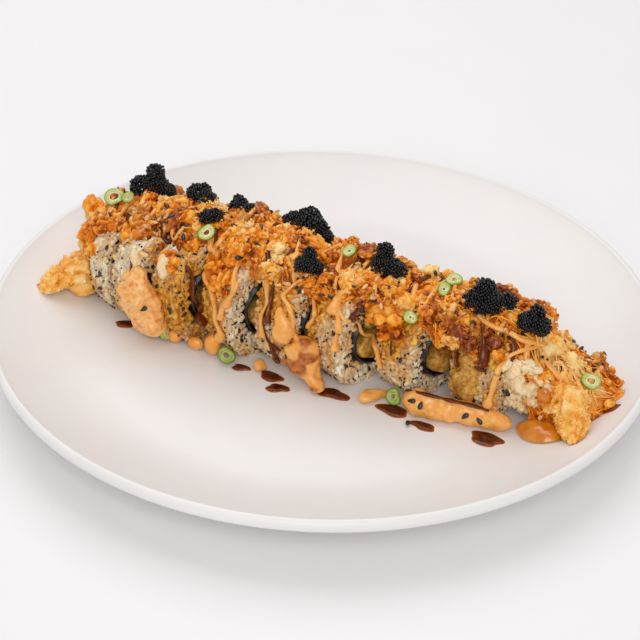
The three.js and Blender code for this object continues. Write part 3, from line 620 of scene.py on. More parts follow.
def rice_core(cut, seed):
    """A rounded box carried round the axis, from the hole to the outline, its underside pressed flat."""
    half, outer, inner = cut["thickness"] / 2 - 0.6, cut["radius"] - 0.8, cut["radius"] - RICE_THICKNESS + 0.25
    edge = np.linspace(0, 2 * math.pi, 28, endpoint=False)
    angle = np.linspace(0, 2 * math.pi, 110, endpoint=False)
    hole = np.stack([0 * angle, np.cos(angle) * SLICE_WIDTH, np.sin(angle)], -1)[:, None] * inner
    rim = outline(angle)[:, None] * outer
    share = (0.5 + 0.5 * squash(np.sin(edge), 0.45))[None, :, None]
    ring = hole + (rim - hole) * share
    ring[..., 0] += half * squash(np.cos(edge), 0.45)
    ring = ring + 0.35 * noise(ring, 2.6, seed)[..., None] * unit(ring * [0.2, 1, 1])
    ring[..., 2] = np.maximum(ring[..., 2], -SEAT * cut["radius"] + 0.4)
    return outward(ring.reshape(-1, 3), [grid_faces(110, 28, wrap_rows=True)])


def rice_grains(cut, rng):
    """Places and outward directions of grains: rows round the outside, and rings on both cut faces."""
    radius, half = cut["radius"], cut["thickness"] / 2
    around, along = int(2 * math.pi * radius * 1.1 / 2.4), int(cut["thickness"] / 2.3)
    angle = 2 * math.pi * (np.arange(around)[:, None] + 0.5 * (np.arange(along) % 2) + rng.uniform(-0.3, 0.3, (around, along))) / around
    x = np.linspace(-half + 1.1, half - 1.1, along) + rng.uniform(-0.7, 0.7, (around, along))
    angle = angle.ravel()
    out = outline_normal(angle)
    side = outline(angle) * (radius - 0.95 + rng.uniform(-0.3, 0.2, (len(angle), 1)))
    side[:, 0] = x.ravel()
    side[:, 2] = np.maximum(side[:, 2], -SEAT * radius + 0.75)
    count = int(1.15 * math.pi * (radius**2 - (radius - RICE_THICKNESS) ** 2) / 4.4)
    index = np.arange(count) + 0.5
    faces = []
    for sign in (-1, 1):
        spin = index * 2.39996 + rng.uniform(-0.05, 0.05, count) + sign
        inner, outer = radius - RICE_THICKNESS + 1.0, (radius - 0.9) * np.linalg.norm(outline(spin) / [1, SLICE_WIDTH, 1], axis=-1)
        reach = np.sqrt(inner**2 + index / count * (outer**2 - inner**2))
        level = sign * (half - 0.8 + rng.uniform(-0.3, 0.25, count))
        spot = np.stack([level, np.cos(spin) * reach * SLICE_WIDTH, np.sin(spin) * reach], -1)
        spot[:, 2] = np.maximum(spot[:, 2], -SEAT * radius + 0.9)
        faces.append((spot, np.tile([float(sign), 0, 0], (count, 1))))
    places = np.concatenate([side] + [spot for spot, _ in faces])
    return places, np.concatenate([out] + [normal for _, normal in faces]), len(side)


STAINS = np.array([
    [-76, 14, 4, 7, 0.6], [-62, 30, 5, 9, 0.5], [-55, 24, 5, 11, 0.6], [-48, 28, 5, 18, 1.0], [-39, 26, 4.5, 12, 0.9], [-34, 38, 6, 6, 0.6], [-20, 38, 7, 6, 0.7],
    [-10, 36, 8, 8, 0.8], [4, 38, 7, 7, 0.95], [0, 22, 7, 9, 0.8], [12, 26, 4, 8, 0.4], [24, 34, 6, 12, 0.8], [36, 32, 7, 12, 1.0],
    [41, 20, 5, 6, 0.25], [50, 40, 6, 5, 0.7], [62, 26, 6, 12, 1.0], [72, 36, 7, 7, 0.9], [76, 20, 7, 9, 0.45], [82, 26, 4, 8, 0.5],
])


def soak(points, on_side):
    """How much sauce the rice holds: the strongest bell over (x, z) of a table of spots, broken up by noise."""
    bells = np.exp(-(((points[:, :1] - STAINS[:, 0]) / STAINS[:, 2]) ** 2) - ((points[:, 2:] - STAINS[:, 1]) / STAINS[:, 3]) ** 2)
    spots = (bells * STAINS[:, 4]).max(axis=1)
    broken = 0.36 * noise(points * [1, 1, 0.5], 4.5, 31) + 0.22 * noise(points, 2.0, 32)
    return np.clip(np.where(on_side, 0.3 + 0.9 * spots, 0.2 + 0.75 * spots) + broken, 0, 1)


print("a grain has", sum(len(block) for block in GRAIN_SHAPE[1]), "faces")

# %% Put the rice
for number, cut in enumerate(SLICES, 1):
    rng = np.random.default_rng(400 + number)
    core, core_faces = rice_core(cut, number)
    places, normals, side_count = rice_grains(cut, rng)
    tilted = unit(normals + rng.normal(0, 0.2, normals.shape))
    sizes = np.array(GRAIN) * rng.uniform(0.88, 1.12, (len(places), 1))
    on_side = np.arange(len(places)) < side_count
    world_places = placed(cut, places)
    turns = slice_turn(cut)[None] @ standing(tilted, rng)
    grains = scatter(
        GRAIN_SHAPE, world_places, turns, sizes,
        tone=rng.uniform(0, 1, len(places)), stain=soak(world_places, on_side),
    )
    world_core = placed(cut, core)
    core_part = (world_core, core_faces, {"tone": 0.35, "stain": soak(world_core, np.abs(core[:, 0]) < cut["thickness"] / 2 - 1.2)})
    put(f"rice_grains_{number}", [core_part, grains], rice.material, "rice", f"rice_{number}")

# %% [markdown]
# ## Seaweed
# The sheet is thin, dark and a little wavy once it is wet. It could be a ring with a Solidify modifier.
# Here its four edges are carried round the axis, and noise moves the radius and the cut edge.

# %% Put the seaweed
def seaweed_sheet(cut, seed):
    """A ring of four corners at each angle: inner and outer radius at the left and the right edge."""
    angle = np.linspace(0, 2 * math.pi, 140, endpoint=False)
    oval = np.stack([np.zeros(140), np.cos(angle) * SLICE_WIDTH, np.sin(angle)], -1)
    outer = cut["radius"] - RICE_THICKNESS - CLEARANCE - 0.2 + 0.22 * noise(oval * 14, 4.0, seed)
    half = cut["thickness"] / 2 + 0.25 + 0.3 * noise(oval * 14, 2.5, seed + 50)
    corners = [(-1, -0.6), (-1, 0.0), (1, 0.0), (1, -0.6)]
    rings = [oval * (outer + thick)[:, None] + np.stack([sign * half, 0 * half, 0 * half], -1) for sign, thick in corners]
    return outward(np.stack(rings, 1).reshape(-1, 3), [grid_faces(140, 4, wrap_rows=True)])


for number, cut in enumerate(SLICES, 1):
    sheet, sheet_faces = seaweed_sheet(cut, number)
    put(f"seaweed_{number}", [(placed(cut, sheet), sheet_faces, {})], seaweed.material, "seaweed", f"nori_{number}")

# %% [markdown]
# ## Fillings
# Inside each ring lie a fried prawn in its batter and a wedge of avocado. What shows is mostly the cut
# end, so the rod is one surface that starts in the middle of one cut, goes out to the edge, along the
# side and back to the middle of the other cut, with the same crumbly noise all over.

# %% Filling rods
PRAWN = {"side": 0.0, "up": -4.6, "wide": 11.9, "high": 8.1}
PRAWN_BESIDE_STICK = {"side": -2.0, "up": -4.6, "wide": 9.2, "high": 8.1}
AVOCADO = {"side": 0.0, "up": 8.7, "wide": 9.6, "high": 3.4}
CRAB_STICK = {"side": 10.0, "up": 1.8, "wide": 2.3, "high": 5.8}
PROUD_RIGHT, PROUD_LEFT = {7: 4.0, 8: 2.0}, {1: 2.0}


def filling(cut, shape, left, right, rough, seed):
    """Rows from one cut's middle to the other's: x and reach follow the row, the oval follows the angle."""
    scale = (cut["radius"] - 8.9) / 13.6
    half = cut["thickness"] / 2
    reach = np.concatenate([np.linspace(0.06, 0.94, 11), [1, 1, 1, 1], np.linspace(0.94, 0.06, 11)])
    dome = np.sqrt(np.clip(1 - reach[:11] ** 2, 0, 1))
    x = np.concatenate([-half - left * (0.35 + 0.65 * dome), np.linspace(-half + 0.4, half - 0.4, 4), half + right * (0.35 + 0.65 * dome[::-1])])
    angle = np.linspace(0, 2 * math.pi, 48, endpoint=False)
    side = (shape["side"] + reach[:, None] * shape["wide"] * np.cos(angle)) * scale * SLICE_WIDTH
    high = (shape["up"] + reach[:, None] * shape["high"] * np.sin(angle)) * scale
    rod = np.stack([np.broadcast_to(x[:, None], side.shape), -side, high], -1)
    centre = np.array([0, -shape["side"] * scale, shape["up"] * scale])
    crumbly = 0.6 * noise(rod, 3.0, seed) + 0.45 * noise(rod, 1.3, seed + 1) - 0.25
    away = unit((rod - centre) * [1.6 / max(half, 1), 0.12, 0.12])
    rod = rod + rough * crumbly[..., None] * away
    tone = np.clip(0.4 + 0.45 * noise(rod, 4.0, seed + 2) + 0.15 * (1 - reach[:, None]), 0, 1)
    points, faces = capped(rod)
    return placed(cut, points), faces, {"tone": np.concatenate([tone.ravel(), tone[[0, -1]].mean(axis=1)])}


end_rods = {}
for number, cut in enumerate(SLICES, 1):
    shape = PRAWN_BESIDE_STICK if number == 2 else PRAWN
    rod = filling(cut, shape, PROUD_LEFT.get(number, 0.9), PROUD_RIGHT.get(number, 0.9), 1.0, 10 * number)
    if number in (1, 8):
        end_rods[number] = rod
    else:
        put(f"prawn_in_batter_{number}", [rod], batter.material, "batter", f"prawn_{number}")
    wedge = filling(cut, AVOCADO, 0.4, 0.6, 0.45, 200 + number)
    put(f"avocado_wedge_{number}", [wedge], avocado.material, "avocado", f"avocado_{number}")
stick = filling(SLICES[1], CRAB_STICK, 0.5, 1.4, 0.35, 300)
pushed_out = scatter(clump(20, 14, 0.22, 310), np.array([[-55.6, -24.6, 40.6], [-68.2, -23.2, 41.0]]), np.tile(np.eye(3), (2, 1, 1)), np.array([[2.7, 2.2, 5.0], [1.9, 1.7, 3.4]]))
put("crab_stick_cut", [stick, pushed_out], crab_flesh.material, "crab", "crab_stick")
tail_belly = scatter(clump(44, 30, 0.1, 340), np.array([[-98.4, -9.4, 14.6]]), np.eye(3)[None], np.array([[7.2, 6.2, 5.0]]), tone=np.array([0.62]))
put("prawn_tail_belly", [tail_belly], crust.material, "batter", "prawn_1")
crust_piece = scatter(clump(44, 30, 0.28, 320), np.array([[65.5, -25.8, 22.5]]), np.eye(3)[None], np.array([[6.6, 3.8, 8.6]]), tone=np.array([0.5]))
put("fried_crust_piece", [crust_piece], batter.material, "batter")

# %% [markdown]
# ## The prawn tails
# At both ends of the row a prawn reaches out past the last cut, in its whole crust. Its run is an oval
# carried along a smooth curve, with coarse and fine noise, and beads of batter stuck to it.

# %% Oval runs
def oval_run(stations, rows, around, hanging=False):
    """Ovals along a curve through stations (x, y, z, half width, half height). The width lies level and
    square to the run, or along x where the run hangs down."""
    curve = spline(stations, rows)
    path = unit(np.gradient(curve[:, :3], axis=0))
    level = unit(np.stack([path[:, 1], -path[:, 0], 0 * path[:, 0]], -1))
    across = np.tile([1.0, 0, 0], (rows, 1)) if hanging else level
    rise = np.tile([0, -1.0, 0], (rows, 1)) if hanging else np.tile([0, 0, 1.0], (rows, 1))
    angle = np.linspace(0, 2 * math.pi, around, endpoint=False)[None, :, None]
    wide, high = np.maximum(curve[:, 3], 0.3)[:, None, None], np.maximum(curve[:, 4], 0.3)[:, None, None]
    ring = across[:, None] * np.cos(angle) * wide + rise[:, None] * np.sin(angle) * high
    return curve[:, None, :3] + ring, unit(ring)


TAILS = {
    1: (-1, [[-88, 5, 20.5, 11, 10.6], [-94, 0, 17.8, 10, 9.6], [-99, -5.5, 18.8, 8, 7], [-104, -12, 18, 7, 4.4], [-108.5, -18, 16.6, 5.2, 2.6], [-111.5, -21.5, 14.9, 2, 1.1]]),
    8: (1, [[90, -13, 19.5, 7.6, 7.4], [96, -19, 20, 7.6, 7.4], [101.5, -26, 20.5, 6.6, 7.6], [104.5, -32, 18.6, 5.2, 6.6], [106, -37, 16.4, 3.4, 4], [106.8, -41, 14.6, 1.6, 1.6]]),
}
BEAD = ball(7, 5)

for number, (towards, stations) in TAILS.items():
    cut = SLICES[number - 1]
    scale = (cut["radius"] - 8.9) / 13.6
    start = placed(cut, np.array([[towards * (cut["thickness"] / 2 + 1.0), 0, PRAWN["up"] * scale]]))[0]
    first = [*start, PRAWN["wide"] * scale * 0.8, PRAWN["high"] * scale * 0.9]
    skin, away = oval_run([first, *stations], 110, 64)
    fade = np.clip(np.linspace(1.4, 0.45, 110), 0, 1)[:, None, None]
    folds = 1.4 * np.abs(noise(skin, 4.6, 60 + number)) - 0.5
    grooves = noise(np.stack(np.broadcast_arrays(np.linspace(0, 5, 110)[:, None], np.linspace(0, 22, 64), 0.0), -1), 1.0, 63)
    rough = 1.8 * folds + 0.7 * noise(skin, 2.4, 61 + number) + 0.4 * noise(skin, 1.2, 62) + 0.5 * grooves
    skin = skin + away * rough[..., None] * fade
    skin[..., 2] = np.maximum(skin[..., 2], plate_height(np.hypot(skin[..., 0], skin[..., 1])) + 0.4)
    # Partly painted shade: the tone is paler on the bulges of the folds and grooves and darker in their creases; noise
    # adds random tone on top.
    tone = np.clip(0.5 + 0.35 * folds + 0.25 * noise(skin, 7.0, 70) + 0.2 * noise(skin, 1.8, 71) + 0.16 * grooves, 0, 1)
    points, faces = capped(skin)
    tail_part = (points, faces, {"tone": np.concatenate([tone.ravel(), [0.5, 0.5]])})
    rng = np.random.default_rng(80 + number)
    row, column = rng.integers(30, 108, 420), rng.integers(0, 64, 420)
    keep = skin[row, column, 2] > plate_height(np.hypot(skin[row, column, 0], skin[row, column, 1])) + 1.5
    spots, normals = skin[row, column][keep], away[row, column][keep]
    sizes = rng.uniform(0.3, 0.85, (len(spots), 1)) * rng.uniform(0.7, 1.3, (len(spots), 3))
    beads = scatter(BEAD, spots, standing(normals, rng), sizes, tone=tone[row, column][keep] + 0.15)
    put(f"prawn_tail_{number}", [tail_part, beads, end_rods[number]], crust.material, "batter", f"prawn_{number}")

# %% [markdown]
# ## The heap on top
# Crab salad is torn flakes of crab bound with mayonnaise, with crumbs of loose batter folded in. One
# displaced surface gives its mass, and torn flakes and crumbs on it give the ragged look that a smooth
# surface lacks. The surface has two parameters: the distance along the row, and the turn from the front
# edge over the crest to the back edge.

# %% Shape of the heap
TOPPING = np.array([
    [-102, 32, 7, 26], [-97, 40, 11, 26], [-88, 48.5, 14, 31], [-78, 50, 15, 37], [-64, 52.5, 15.5, 40.5],
    [-44, 52, 15.5, 43], [-28, 54, 16, 43], [-12, 52.5, 17, 42.5], [8, 49.5, 16.5, 41.5], [24, 48.5, 16, 41],
    [42, 46, 16, 38], [58, 45, 17, 35], [70, 46, 17.5, 32], [84, 41.5, 18, 22], [89, 34.5, 18.5, 12],
    [96, 29, 18.5, 10], [106, 26, 17, 10], [113, 22, 12, 11], [117, 19, 6, 14],
])
ROW_MIDDLE = np.array([[-105, 4], [-85, 4], [-60, 0.5], [-40, -2.5], [-20, -5], [0, -8], [20, -9], [43, -9], [75, -8], [118, -7.5]])


def heap_rows(x):
    """Crest height, half width, edge height and middle at x; the edge waves up and down along the slices."""
    crest, half, edge = (np.interp(x, TOPPING[:, 0], TOPPING[:, column]) for column in (1, 2, 3))
    wave = (2.6 * np.sin(0.33 * x) + 1.9 * np.sin(0.81 * x + 1)) * np.clip((86 - x) / 6, 0, 1)
    return crest, half, edge + wave, np.interp(x, ROW_MIDDLE[:, 0], ROW_MIDDLE[:, 1])


def heap(x, turn):
    """The heap's plain surface. y is the middle less the half width times cos(turn), and z rises from the
    edge to the crest with sin(turn) to the power 0.8; below the edge it closes in a shallow arc."""
    crest, half, edge, middle = heap_rows(x)
    taper = np.sqrt(np.clip(np.minimum((x + 103) / 7, (118 - x) / 7), 0, 1))
    sine = np.sin(turn)
    rise = np.where(sine >= 0, (crest - edge) * np.abs(sine) ** 0.8, 3.0 * sine)
    return np.stack([x, middle - np.cos(turn) * half * taper, edge + (rise - 6) * taper + 6], -1)


def heap_normal(x, turn):
    """Outward direction: the cross product of two short steps over the surface."""
    step_x = heap(x + 0.5, turn) - heap(x - 0.5, turn)
    step_turn = heap(x, turn + 0.02) - heap(x, turn - 0.02)
    return unit(np.cross(step_turn, step_x)) * -1


def lumps(points):
    """Height of the lumps: the size of the noise without its sign, at three sizes, which makes round
    bulges with sharp creases between them."""
    bulges = [np.abs(noise(points, size, seed)) for seed, size in enumerate((7.5, 3.4, 1.6), 1)]
    height = 4.2 * bulges[0] + 1.5 * bulges[1] + 0.6 * bulges[2] - 3.3
    return height * (1 - 0.4 * np.clip((points[..., 0] - 86) / 8, 0, 1))


GLAZE_PATCHES = np.array([
    [-90, 0.8, 5], [-79, 1.0, 6], [-70, 0.8, 7], [-62, 0.65, 6], [-52, 0.6, 5], [-46, 1.2, 4], [-35, 0.5, 5], [-20, 0.35, 4], [-6, 1.4, 5],
    [-4, 0.5, 6], [7, 1.1, 5], [12, 0.6, 5], [21, 0.4, 5], [30, 0.7, 4], [38, 0.4, 4.5], [47, 0.9, 4], [58, 0.5, 7], [66, 0.5, 8],
    [73, 0.6, 7], [79, 0.35, 5], [-72, 2.2, 8], [-32, 2.1, 9], [18, 2.2, 9], [62, 2.1, 8], [102, 2.2, 7], [114, 0.1, 4],
])
PALE_PATCHES = np.array([
    [-94, 1.2, 6], [-66, 1.6, 5], [-29, 1.4, 6], [-15, 1.0, 7], [18, 1.2, 7], [30, 1.2, 6], [39, 0.7, 7], [52, 1.4, 6], [76, 1.5, 6],
    [92, 1.3, 10], [100, 1.0, 12], [109, 0.9, 11], [-50, 2.2, 9], [0, 2.1, 9], [42, 2.3, 9],
])


def patches(table, points, seed):
    """How deep a point lies in the nearest patch of a table of (x, turn, size), with frayed edges."""
    centres = heap(table[:, 0], table[:, 1])
    gap = np.linalg.norm(points[:, None] - centres[None], axis=-1) / table[:, 2]
    fray = 0.45 * noise(points, 4.0, seed) + 0.3 * noise(points, 1.8, seed + 1)
    return np.clip(2.0 * (1.0 - gap.min(axis=1) + fray), 0, 1)


def salad_values(points, rng=None):
    """Tone and glaze at points of the heap: broad clouds of colour, pale patches and glazed patches."""
    own = 0 if rng is None else rng.normal(0, 0.06, len(points))
    tone = 0.38 + 0.38 * noise(points, 7.0, 11) + 0.14 * noise(points, 2.4, 12) + 0.4 * patches(PALE_PATCHES, points, 23)
    tone = tone + 0.08 * np.clip((points[:, 0] - 86) / 8, 0, 1) + own
    return {"tone": np.clip(tone, 0, 1), "glaze": patches(GLAZE_PATCHES, points, 21)}


print("heap's crest at x=0:", heap(np.array([0.0]), np.array([math.pi / 2]))[0].round(1))

# %% Put the heap
steps_x, steps_turn = 470, 170
x_line = np.linspace(-102.5, 117.5, steps_x)[:, None]
turn_line = np.concatenate([np.linspace(-0.25, math.pi + 0.25, 140), np.linspace(math.pi + 0.4, 2 * math.pi - 0.4, 30)])[None, :]
x_grid, turn_grid = np.broadcast_arrays(x_line, turn_line)
surface = heap(x_grid, turn_grid)
normal = heap_normal(x_grid, turn_grid)
upper = np.clip(1.2 * np.sin(turn_grid) + 0.6, 0, 1)
rise = lumps(surface) * upper
surface = surface + normal * rise[..., None]
surface[..., 2] = np.maximum(surface[..., 2], plate_height(np.hypot(surface[..., 0], surface[..., 1])) + 0.35)
points, faces = capped(surface)
values = salad_values(points)
# The lumps' height is kept as painted shade: in the colour, the hollows of the heap come out darker and its bulges
# paler.
values["relief"] = np.append(0.17 * (rise.ravel() + 1.0), [0.0, 0.0])
put("crab_salad_heap", [(points, faces, values)], topping.material, "topping", "crab_topping")

# %% [markdown]
# ## Clumps, crumbs and shreds
# Crab and batter stick together in clumps like little clouds: each bulge carries smaller bulges, and their colour
# is painted paler on top and darker in the creases, as painted shade. A few clumps, turned and stretched, serve for
# all.
# Loose batter makes small round crumbs, and at the right-hand end the crab hangs in long shreds.

# %% Flakes and crumbs
def on_heap(count, rng, low_turn=0.1, high_turn=3.04, x_range=(-101, 115)):
    """Random places on the heap: their points on the lumpy surface, and normals."""
    x = rng.uniform(*x_range, count)
    turn = rng.uniform(low_turn, high_turn, count)
    plain, normals = heap(x, turn), heap_normal(x, turn)
    return plain + normals * lumps(plain)[:, None], normals


RING_PLACES = np.array([[-88.4, 1.6], [-82, 0.8], [-43, -13], [50.2, -2.2], [48.8, -10.4], [40.8, -24.7], [10.5, -5], [106.5, -16.5]])


def off_plate(part):
    """The part with each point that is under the plate's surface raised to just over it."""
    points = part[0]
    points[:, 2] = np.maximum(points[:, 2], plate_height(np.hypot(points[:, 0], points[:, 1])) + 0.25)
    return (points, *part[1:])


def points_of(piece):
    """A finished mesh's points, in mm."""
    flat = np.empty(3 * len(piece.data.vertices), np.float32)
    piece.data.vertices.foreach_get("co", flat)
    return 1000.0 * flat.reshape(-1, 3)


def on_clumps(count, rng, high_turn=3.04, x_range=(-101, 115)):
    """Random points of the finished clumps that stand out of the heap, with the heap's normals under them."""
    chosen = clump_points[rng.integers(0, len(clump_points), 8 * count)]
    crest, half, edge, middle = heap_rows(chosen[:, 0])
    turn = np.arctan2(np.maximum(chosen[:, 2] - edge, 0) / (crest - edge), (middle - chosen[:, 1]) / half)
    plain, normals = heap(chosen[:, 0], turn), heap_normal(chosen[:, 0], turn)
    height = np.sum((chosen - plain) * normals, axis=1) - lumps(plain)
    keep = (height > 0.8) & (chosen[:, 0] > x_range[0]) & (chosen[:, 0] < x_range[1]) & (turn < high_turn)
    return chosen[keep][:count], normals[keep][:count]


def strew(name, variants, count, sizes, lean, lift, seed, find=on_heap, **ranges):
    """Copies of small shapes over the heap, their half sizes and their lift in mm drawn between two limits.
    The places of the scallion rings stay free."""
    parts = []
    for index, shape in enumerate(variants):
        rng = np.random.default_rng(seed + index)
        places, normals = find(count // len(variants), rng, **ranges)
        free = np.linalg.norm(places[:, None, :2] - RING_PLACES[None], axis=-1).min(axis=1) > 5
        places, normals = places[free], normals[free]
        size = rng.uniform(*np.array(sizes), (len(places), 3)) * rng.uniform(0.8, 1.2, (len(places), 1))
        turns = standing(unit(normals + rng.normal(0, lean, normals.shape)), rng)
        places = places + normals * rng.uniform(*lift, (len(places), 1))
        places[:, 2] = np.maximum(places[:, 2], plate_height(np.hypot(places[:, 0], places[:, 1])) + size.max(axis=1) * 0.8)
        values = salad_values(places, rng)
        values["glaze"] = values["glaze"] * rng.uniform(0.2, 1.0, len(places))
        parts.append(off_plate(scatter(shape, places, turns, size, **values)))
    return put(name, parts, topping.material, "topping")


clump_shapes = [clump(26, 17, 0.5, 500 + 10 * index) for index in range(8)]
middle_shapes = [clump(16, 11, 0.5, 560 + 10 * index) for index in range(8)]
small_shapes = [clump(10, 7, 0.45, 600 + 10 * index, 2) for index in range(6)]
crumb_shapes = [clump(7, 5, 0.3, 700 + 10 * index, 1) for index in range(4)]
clumps = strew("crab_clumps", clump_shapes, 184, [(2.8, 2.6, 2.2), (4.8, 4.2, 3.4)], 0.35, (-0.6, 0.6), 610, low_turn=0.0, x_range=(-101, 104))
small_clumps = strew("crab_small_clumps", middle_shapes, 344, [(1.6, 1.4, 1.2), (2.9, 2.4, 2.0)], 0.4, (-0.2, 1.6), 660, low_turn=-0.15, x_range=(-101, 110))
clump_points = np.concatenate([points_of(clumps), points_of(small_clumps)])
strew("crab_flakes", small_shapes, 620, [(0.9, 0.8, 0.7), (2.2, 1.7, 1.4)], 0.5, (0.3, 1.6), 620, low_turn=-0.2)
strew("batter_crumbs", crumb_shapes, 1500, [(0.4, 0.4, 0.35), (1.0, 0.9, 0.85)], 0.4, (-0.1, 0.4), 640, find=on_clumps)

# %% Shreds and drizzle over the heap
def over_heap(x, turn, lift):
    """Paths that lie on the lumpy heap, lifted off it."""
    plain = heap(x, turn)
    return plain + heap_normal(x, turn) * (np.maximum(lumps(plain), -2.4) + lift)[..., None]


def wander(count, length, steps, rng, x_range, turn_range, along):
    """Paths in the two parameters of the heap: a start, a heading, and a bend that grows along the way."""
    t = np.linspace(0, 1, steps)[None, :]
    heading = rng.normal(along, 0.4, (count, 1)) + rng.normal(0, 0.6, (count, 1)) * t
    reach = rng.uniform(*length, (count, 1)) * t
    x = rng.uniform(*x_range, (count, 1)) + reach * np.cos(heading)
    turn = rng.uniform(*turn_range, (count, 1)) + reach * np.sin(heading) / 21
    return np.clip(x, -101, 115), np.clip(turn, 0.02, 3.1)


def shreds(count, length, steps, rng, thick, lift, x_range, turn_range, along):
    """Thin strands over the heap, thinner towards the end, with the heap's own colours."""
    x_path, turn_path = wander(count, length, steps, rng, x_range, turn_range, along)
    paths = over_heap(x_path, turn_path, lift)
    radii = rng.uniform(*thick, (count, 1)) * (1 - 0.5 * np.linspace(0, 1, steps)[None, :] ** 2)
    values = salad_values(paths[:, steps // 2], rng)
    values["glaze"] = values["glaze"] * rng.uniform(0, 0.8, count)
    return off_plate(tubes(paths, radii, 6, 0.75, **values))


rng = np.random.default_rng(700)
shred_parts = [
    shreds(130, (12, 30), 22, rng, (0.22, 0.45), 1.7, (46, 106), (0.15, 1.7), -0.55),
    shreds(70, (8, 20), 16, rng, (0.3, 0.6), 1.5, (-4, 60), (0.1, 1.4), -1.9),
    shreds(110, (5, 13), 12, rng, (0.3, 0.55), 1.3, (-98, 110), (0.3, 3.0), 0.8),
]
put("crab_shreds", shred_parts, topping.material, "topping")

# %% [markdown]
# ## Drizzle down the cut faces
# Chilli mayonnaise is squeezed over the row in a zigzag and runs down in strands, thick at the foot. The
# strands have to lie on whatever is in front at each height, so a function works out how far the slices
# and the heap reach towards the viewer there.

# %% Where the slices' front is
def front_of(x, z):
    """Reach towards -Y at a place and height: the outside of each slice, its right-hand cut, or the heap."""
    crest, half, edge, middle = heap_rows(x)
    climb = np.clip((z - edge) / (crest - edge), 0, 1)
    front = np.where(z > edge - 2, middle - half * np.sqrt(1 - climb**2.5), middle - 9)
    for cut in SLICES:
        c, s = math.cos(math.radians(cut["yaw"])), math.sin(math.radians(cut["yaw"]))
        share = np.clip(np.abs(z - (WELL_HEIGHT + CLEARANCE + SEAT * cut["radius"])) / (cut["radius"] + 0.5), 0, 1)
        reach = SLICE_WIDTH * (cut["radius"] + 0.5) * (1 - share**SLICE_SQUARE) ** (1 / SLICE_SQUARE)
        half = cut["thickness"] / 2 + 0.8
        offset = x - cut["x"]
        forward = (offset + reach * s) / c
        across = (half * c - offset) / s
        rim = np.where(np.abs(forward) <= half, cut["y"] - forward * s - reach * c, 99)
        face = np.where((forward > half) & (np.abs(across) <= reach), cut["y"] - half * s - across * c, 99)
        front = np.minimum(front, np.minimum(rim, face))
    return front


def smoothed(values, width):
    """A running mean along the last axis, with the ends held."""
    padded = np.pad(values, [(0, 0), (width, width)], mode="edge")
    return np.mean([padded[:, shift : shift + values.shape[1]] for shift in range(2 * width + 1)], axis=0)


STRANDS = [
    (1.5, [(-38.5, 43), (-39.5, 39), (-36, 35.5), (-33.5, 31), (-33, 24.5), (-31, 19), (-34.5, 11)]), (1.2, [(-24.5, 43), (-26.5, 38.5), (-29.5, 32.5), (-31, 26)]),
    (1.9, [(23, 49), (20, 48.5), (16.5, 46.5), (13.5, 43), (13, 39)]), (1.6, [(14, 41), (15.5, 39), (16.5, 35.5), (16, 31), (16.5, 27.5)]),
    (1.0, [(14, 41), (18, 39.5), (21, 37), (23.5, 29), (28.5, 26), (31.5, 17.5)]), (0.9, [(21.5, 46), (23.5, 40.5), (23.5, 33)]),
    (1.3, [(-27, 49), (-27, 44.5), (-26, 40), (-28, 33)]), (0.9, [(-30, 48), (-22, 49), (-17, 45), (-13, 38)]), (1.2, [(-17, 43), (-13, 38), (-15, 30), (-14, 22)]),
    (1.2, [(-1, 47), (-6, 42.5), (-6.5, 41), (-2, 38.5), (-1.5, 30.5), (-0.5, 23)]), (1.0, [(5, 47), (3, 42), (5, 36), (3, 29)]),
    (1.0, [(42, 46), (42.5, 45), (48.5, 41), (53.5, 36.5), (60.5, 36)]), (1.2, [(88, 36), (82.5, 37), (77, 34.5), (75, 30.5), (74, 21.5), (71, 10.5)]),
    (1.7, [(62, 45), (70.5, 42.5), (78.5, 40.5), (86.5, 36.5), (90.5, 31.5), (97, 26.5), (104, 23.5), (108, 21)]), (0.8, [(74, 42), (84, 39), (92, 34), (99, 28), (106, 23)]),
]
GLAZE_RUNS = [
    (1.0, [(-70, 42), (-68, 34), (-67, 26)]), (2.6, [(-46, 44), (-44.5, 36), (-45, 30), (-43, 24), (-39, 18)]), (1.6, [(-42, 32), (-41, 26), (-42.5, 21)]),
    (0.9, [(-12, 39), (-14, 29.5), (-11.5, 22), (-5.5, 20)]), (2.4, [(-10, 21), (-9, 17.5), (-8, 13)]), (1.3, [(-12, 44), (-11, 37), (-12, 29)]), (1.7, [(21.5, 47), (22, 43), (20, 38)]),
    (1.1, [(34, 44), (35, 36), (35, 26)]), (2.2, [(57, 43), (58, 36), (60, 27)]), (2.2, [(66, 44), (68, 40), (69.5, 35), (69, 29)]), (1.6, [(78, 40), (79, 37.5), (79, 32)]),
]


def running_down(strands, steps, seed):
    """Strands through places (x, z) on the front, with a little sway; the radius swells at the foot as a
    bell curve and varies by noise."""
    t = np.linspace(0, 1, steps)[None, :]
    course = np.array([spline(stations, steps) for _, stations in strands])
    x, z = course[..., 0], course[..., 1]
    x = x + 0.6 * noise(np.stack([x, z, 0 * z + seed], -1), 5.0, seed)
    y = smoothed(front_of(x, z), 2) - 0.4 - 2.4 * np.clip((x - 84) / 8, 0, 1)
    radius = np.array([[thick] for thick, _ in strands]) * (0.7 + 0.2 * t + 0.5 * np.exp(-(((t - 0.92) / 0.09) ** 2)))
    radius = radius * (1 + 0.4 * noise(np.stack([x, y, z], -1), 2.8, seed + 1))
    radius[:, 0], radius[:, -1] = radius[:, 0] * 0.4, radius[:, -1] * 0.5
    return np.stack([x, y, z], -1), radius


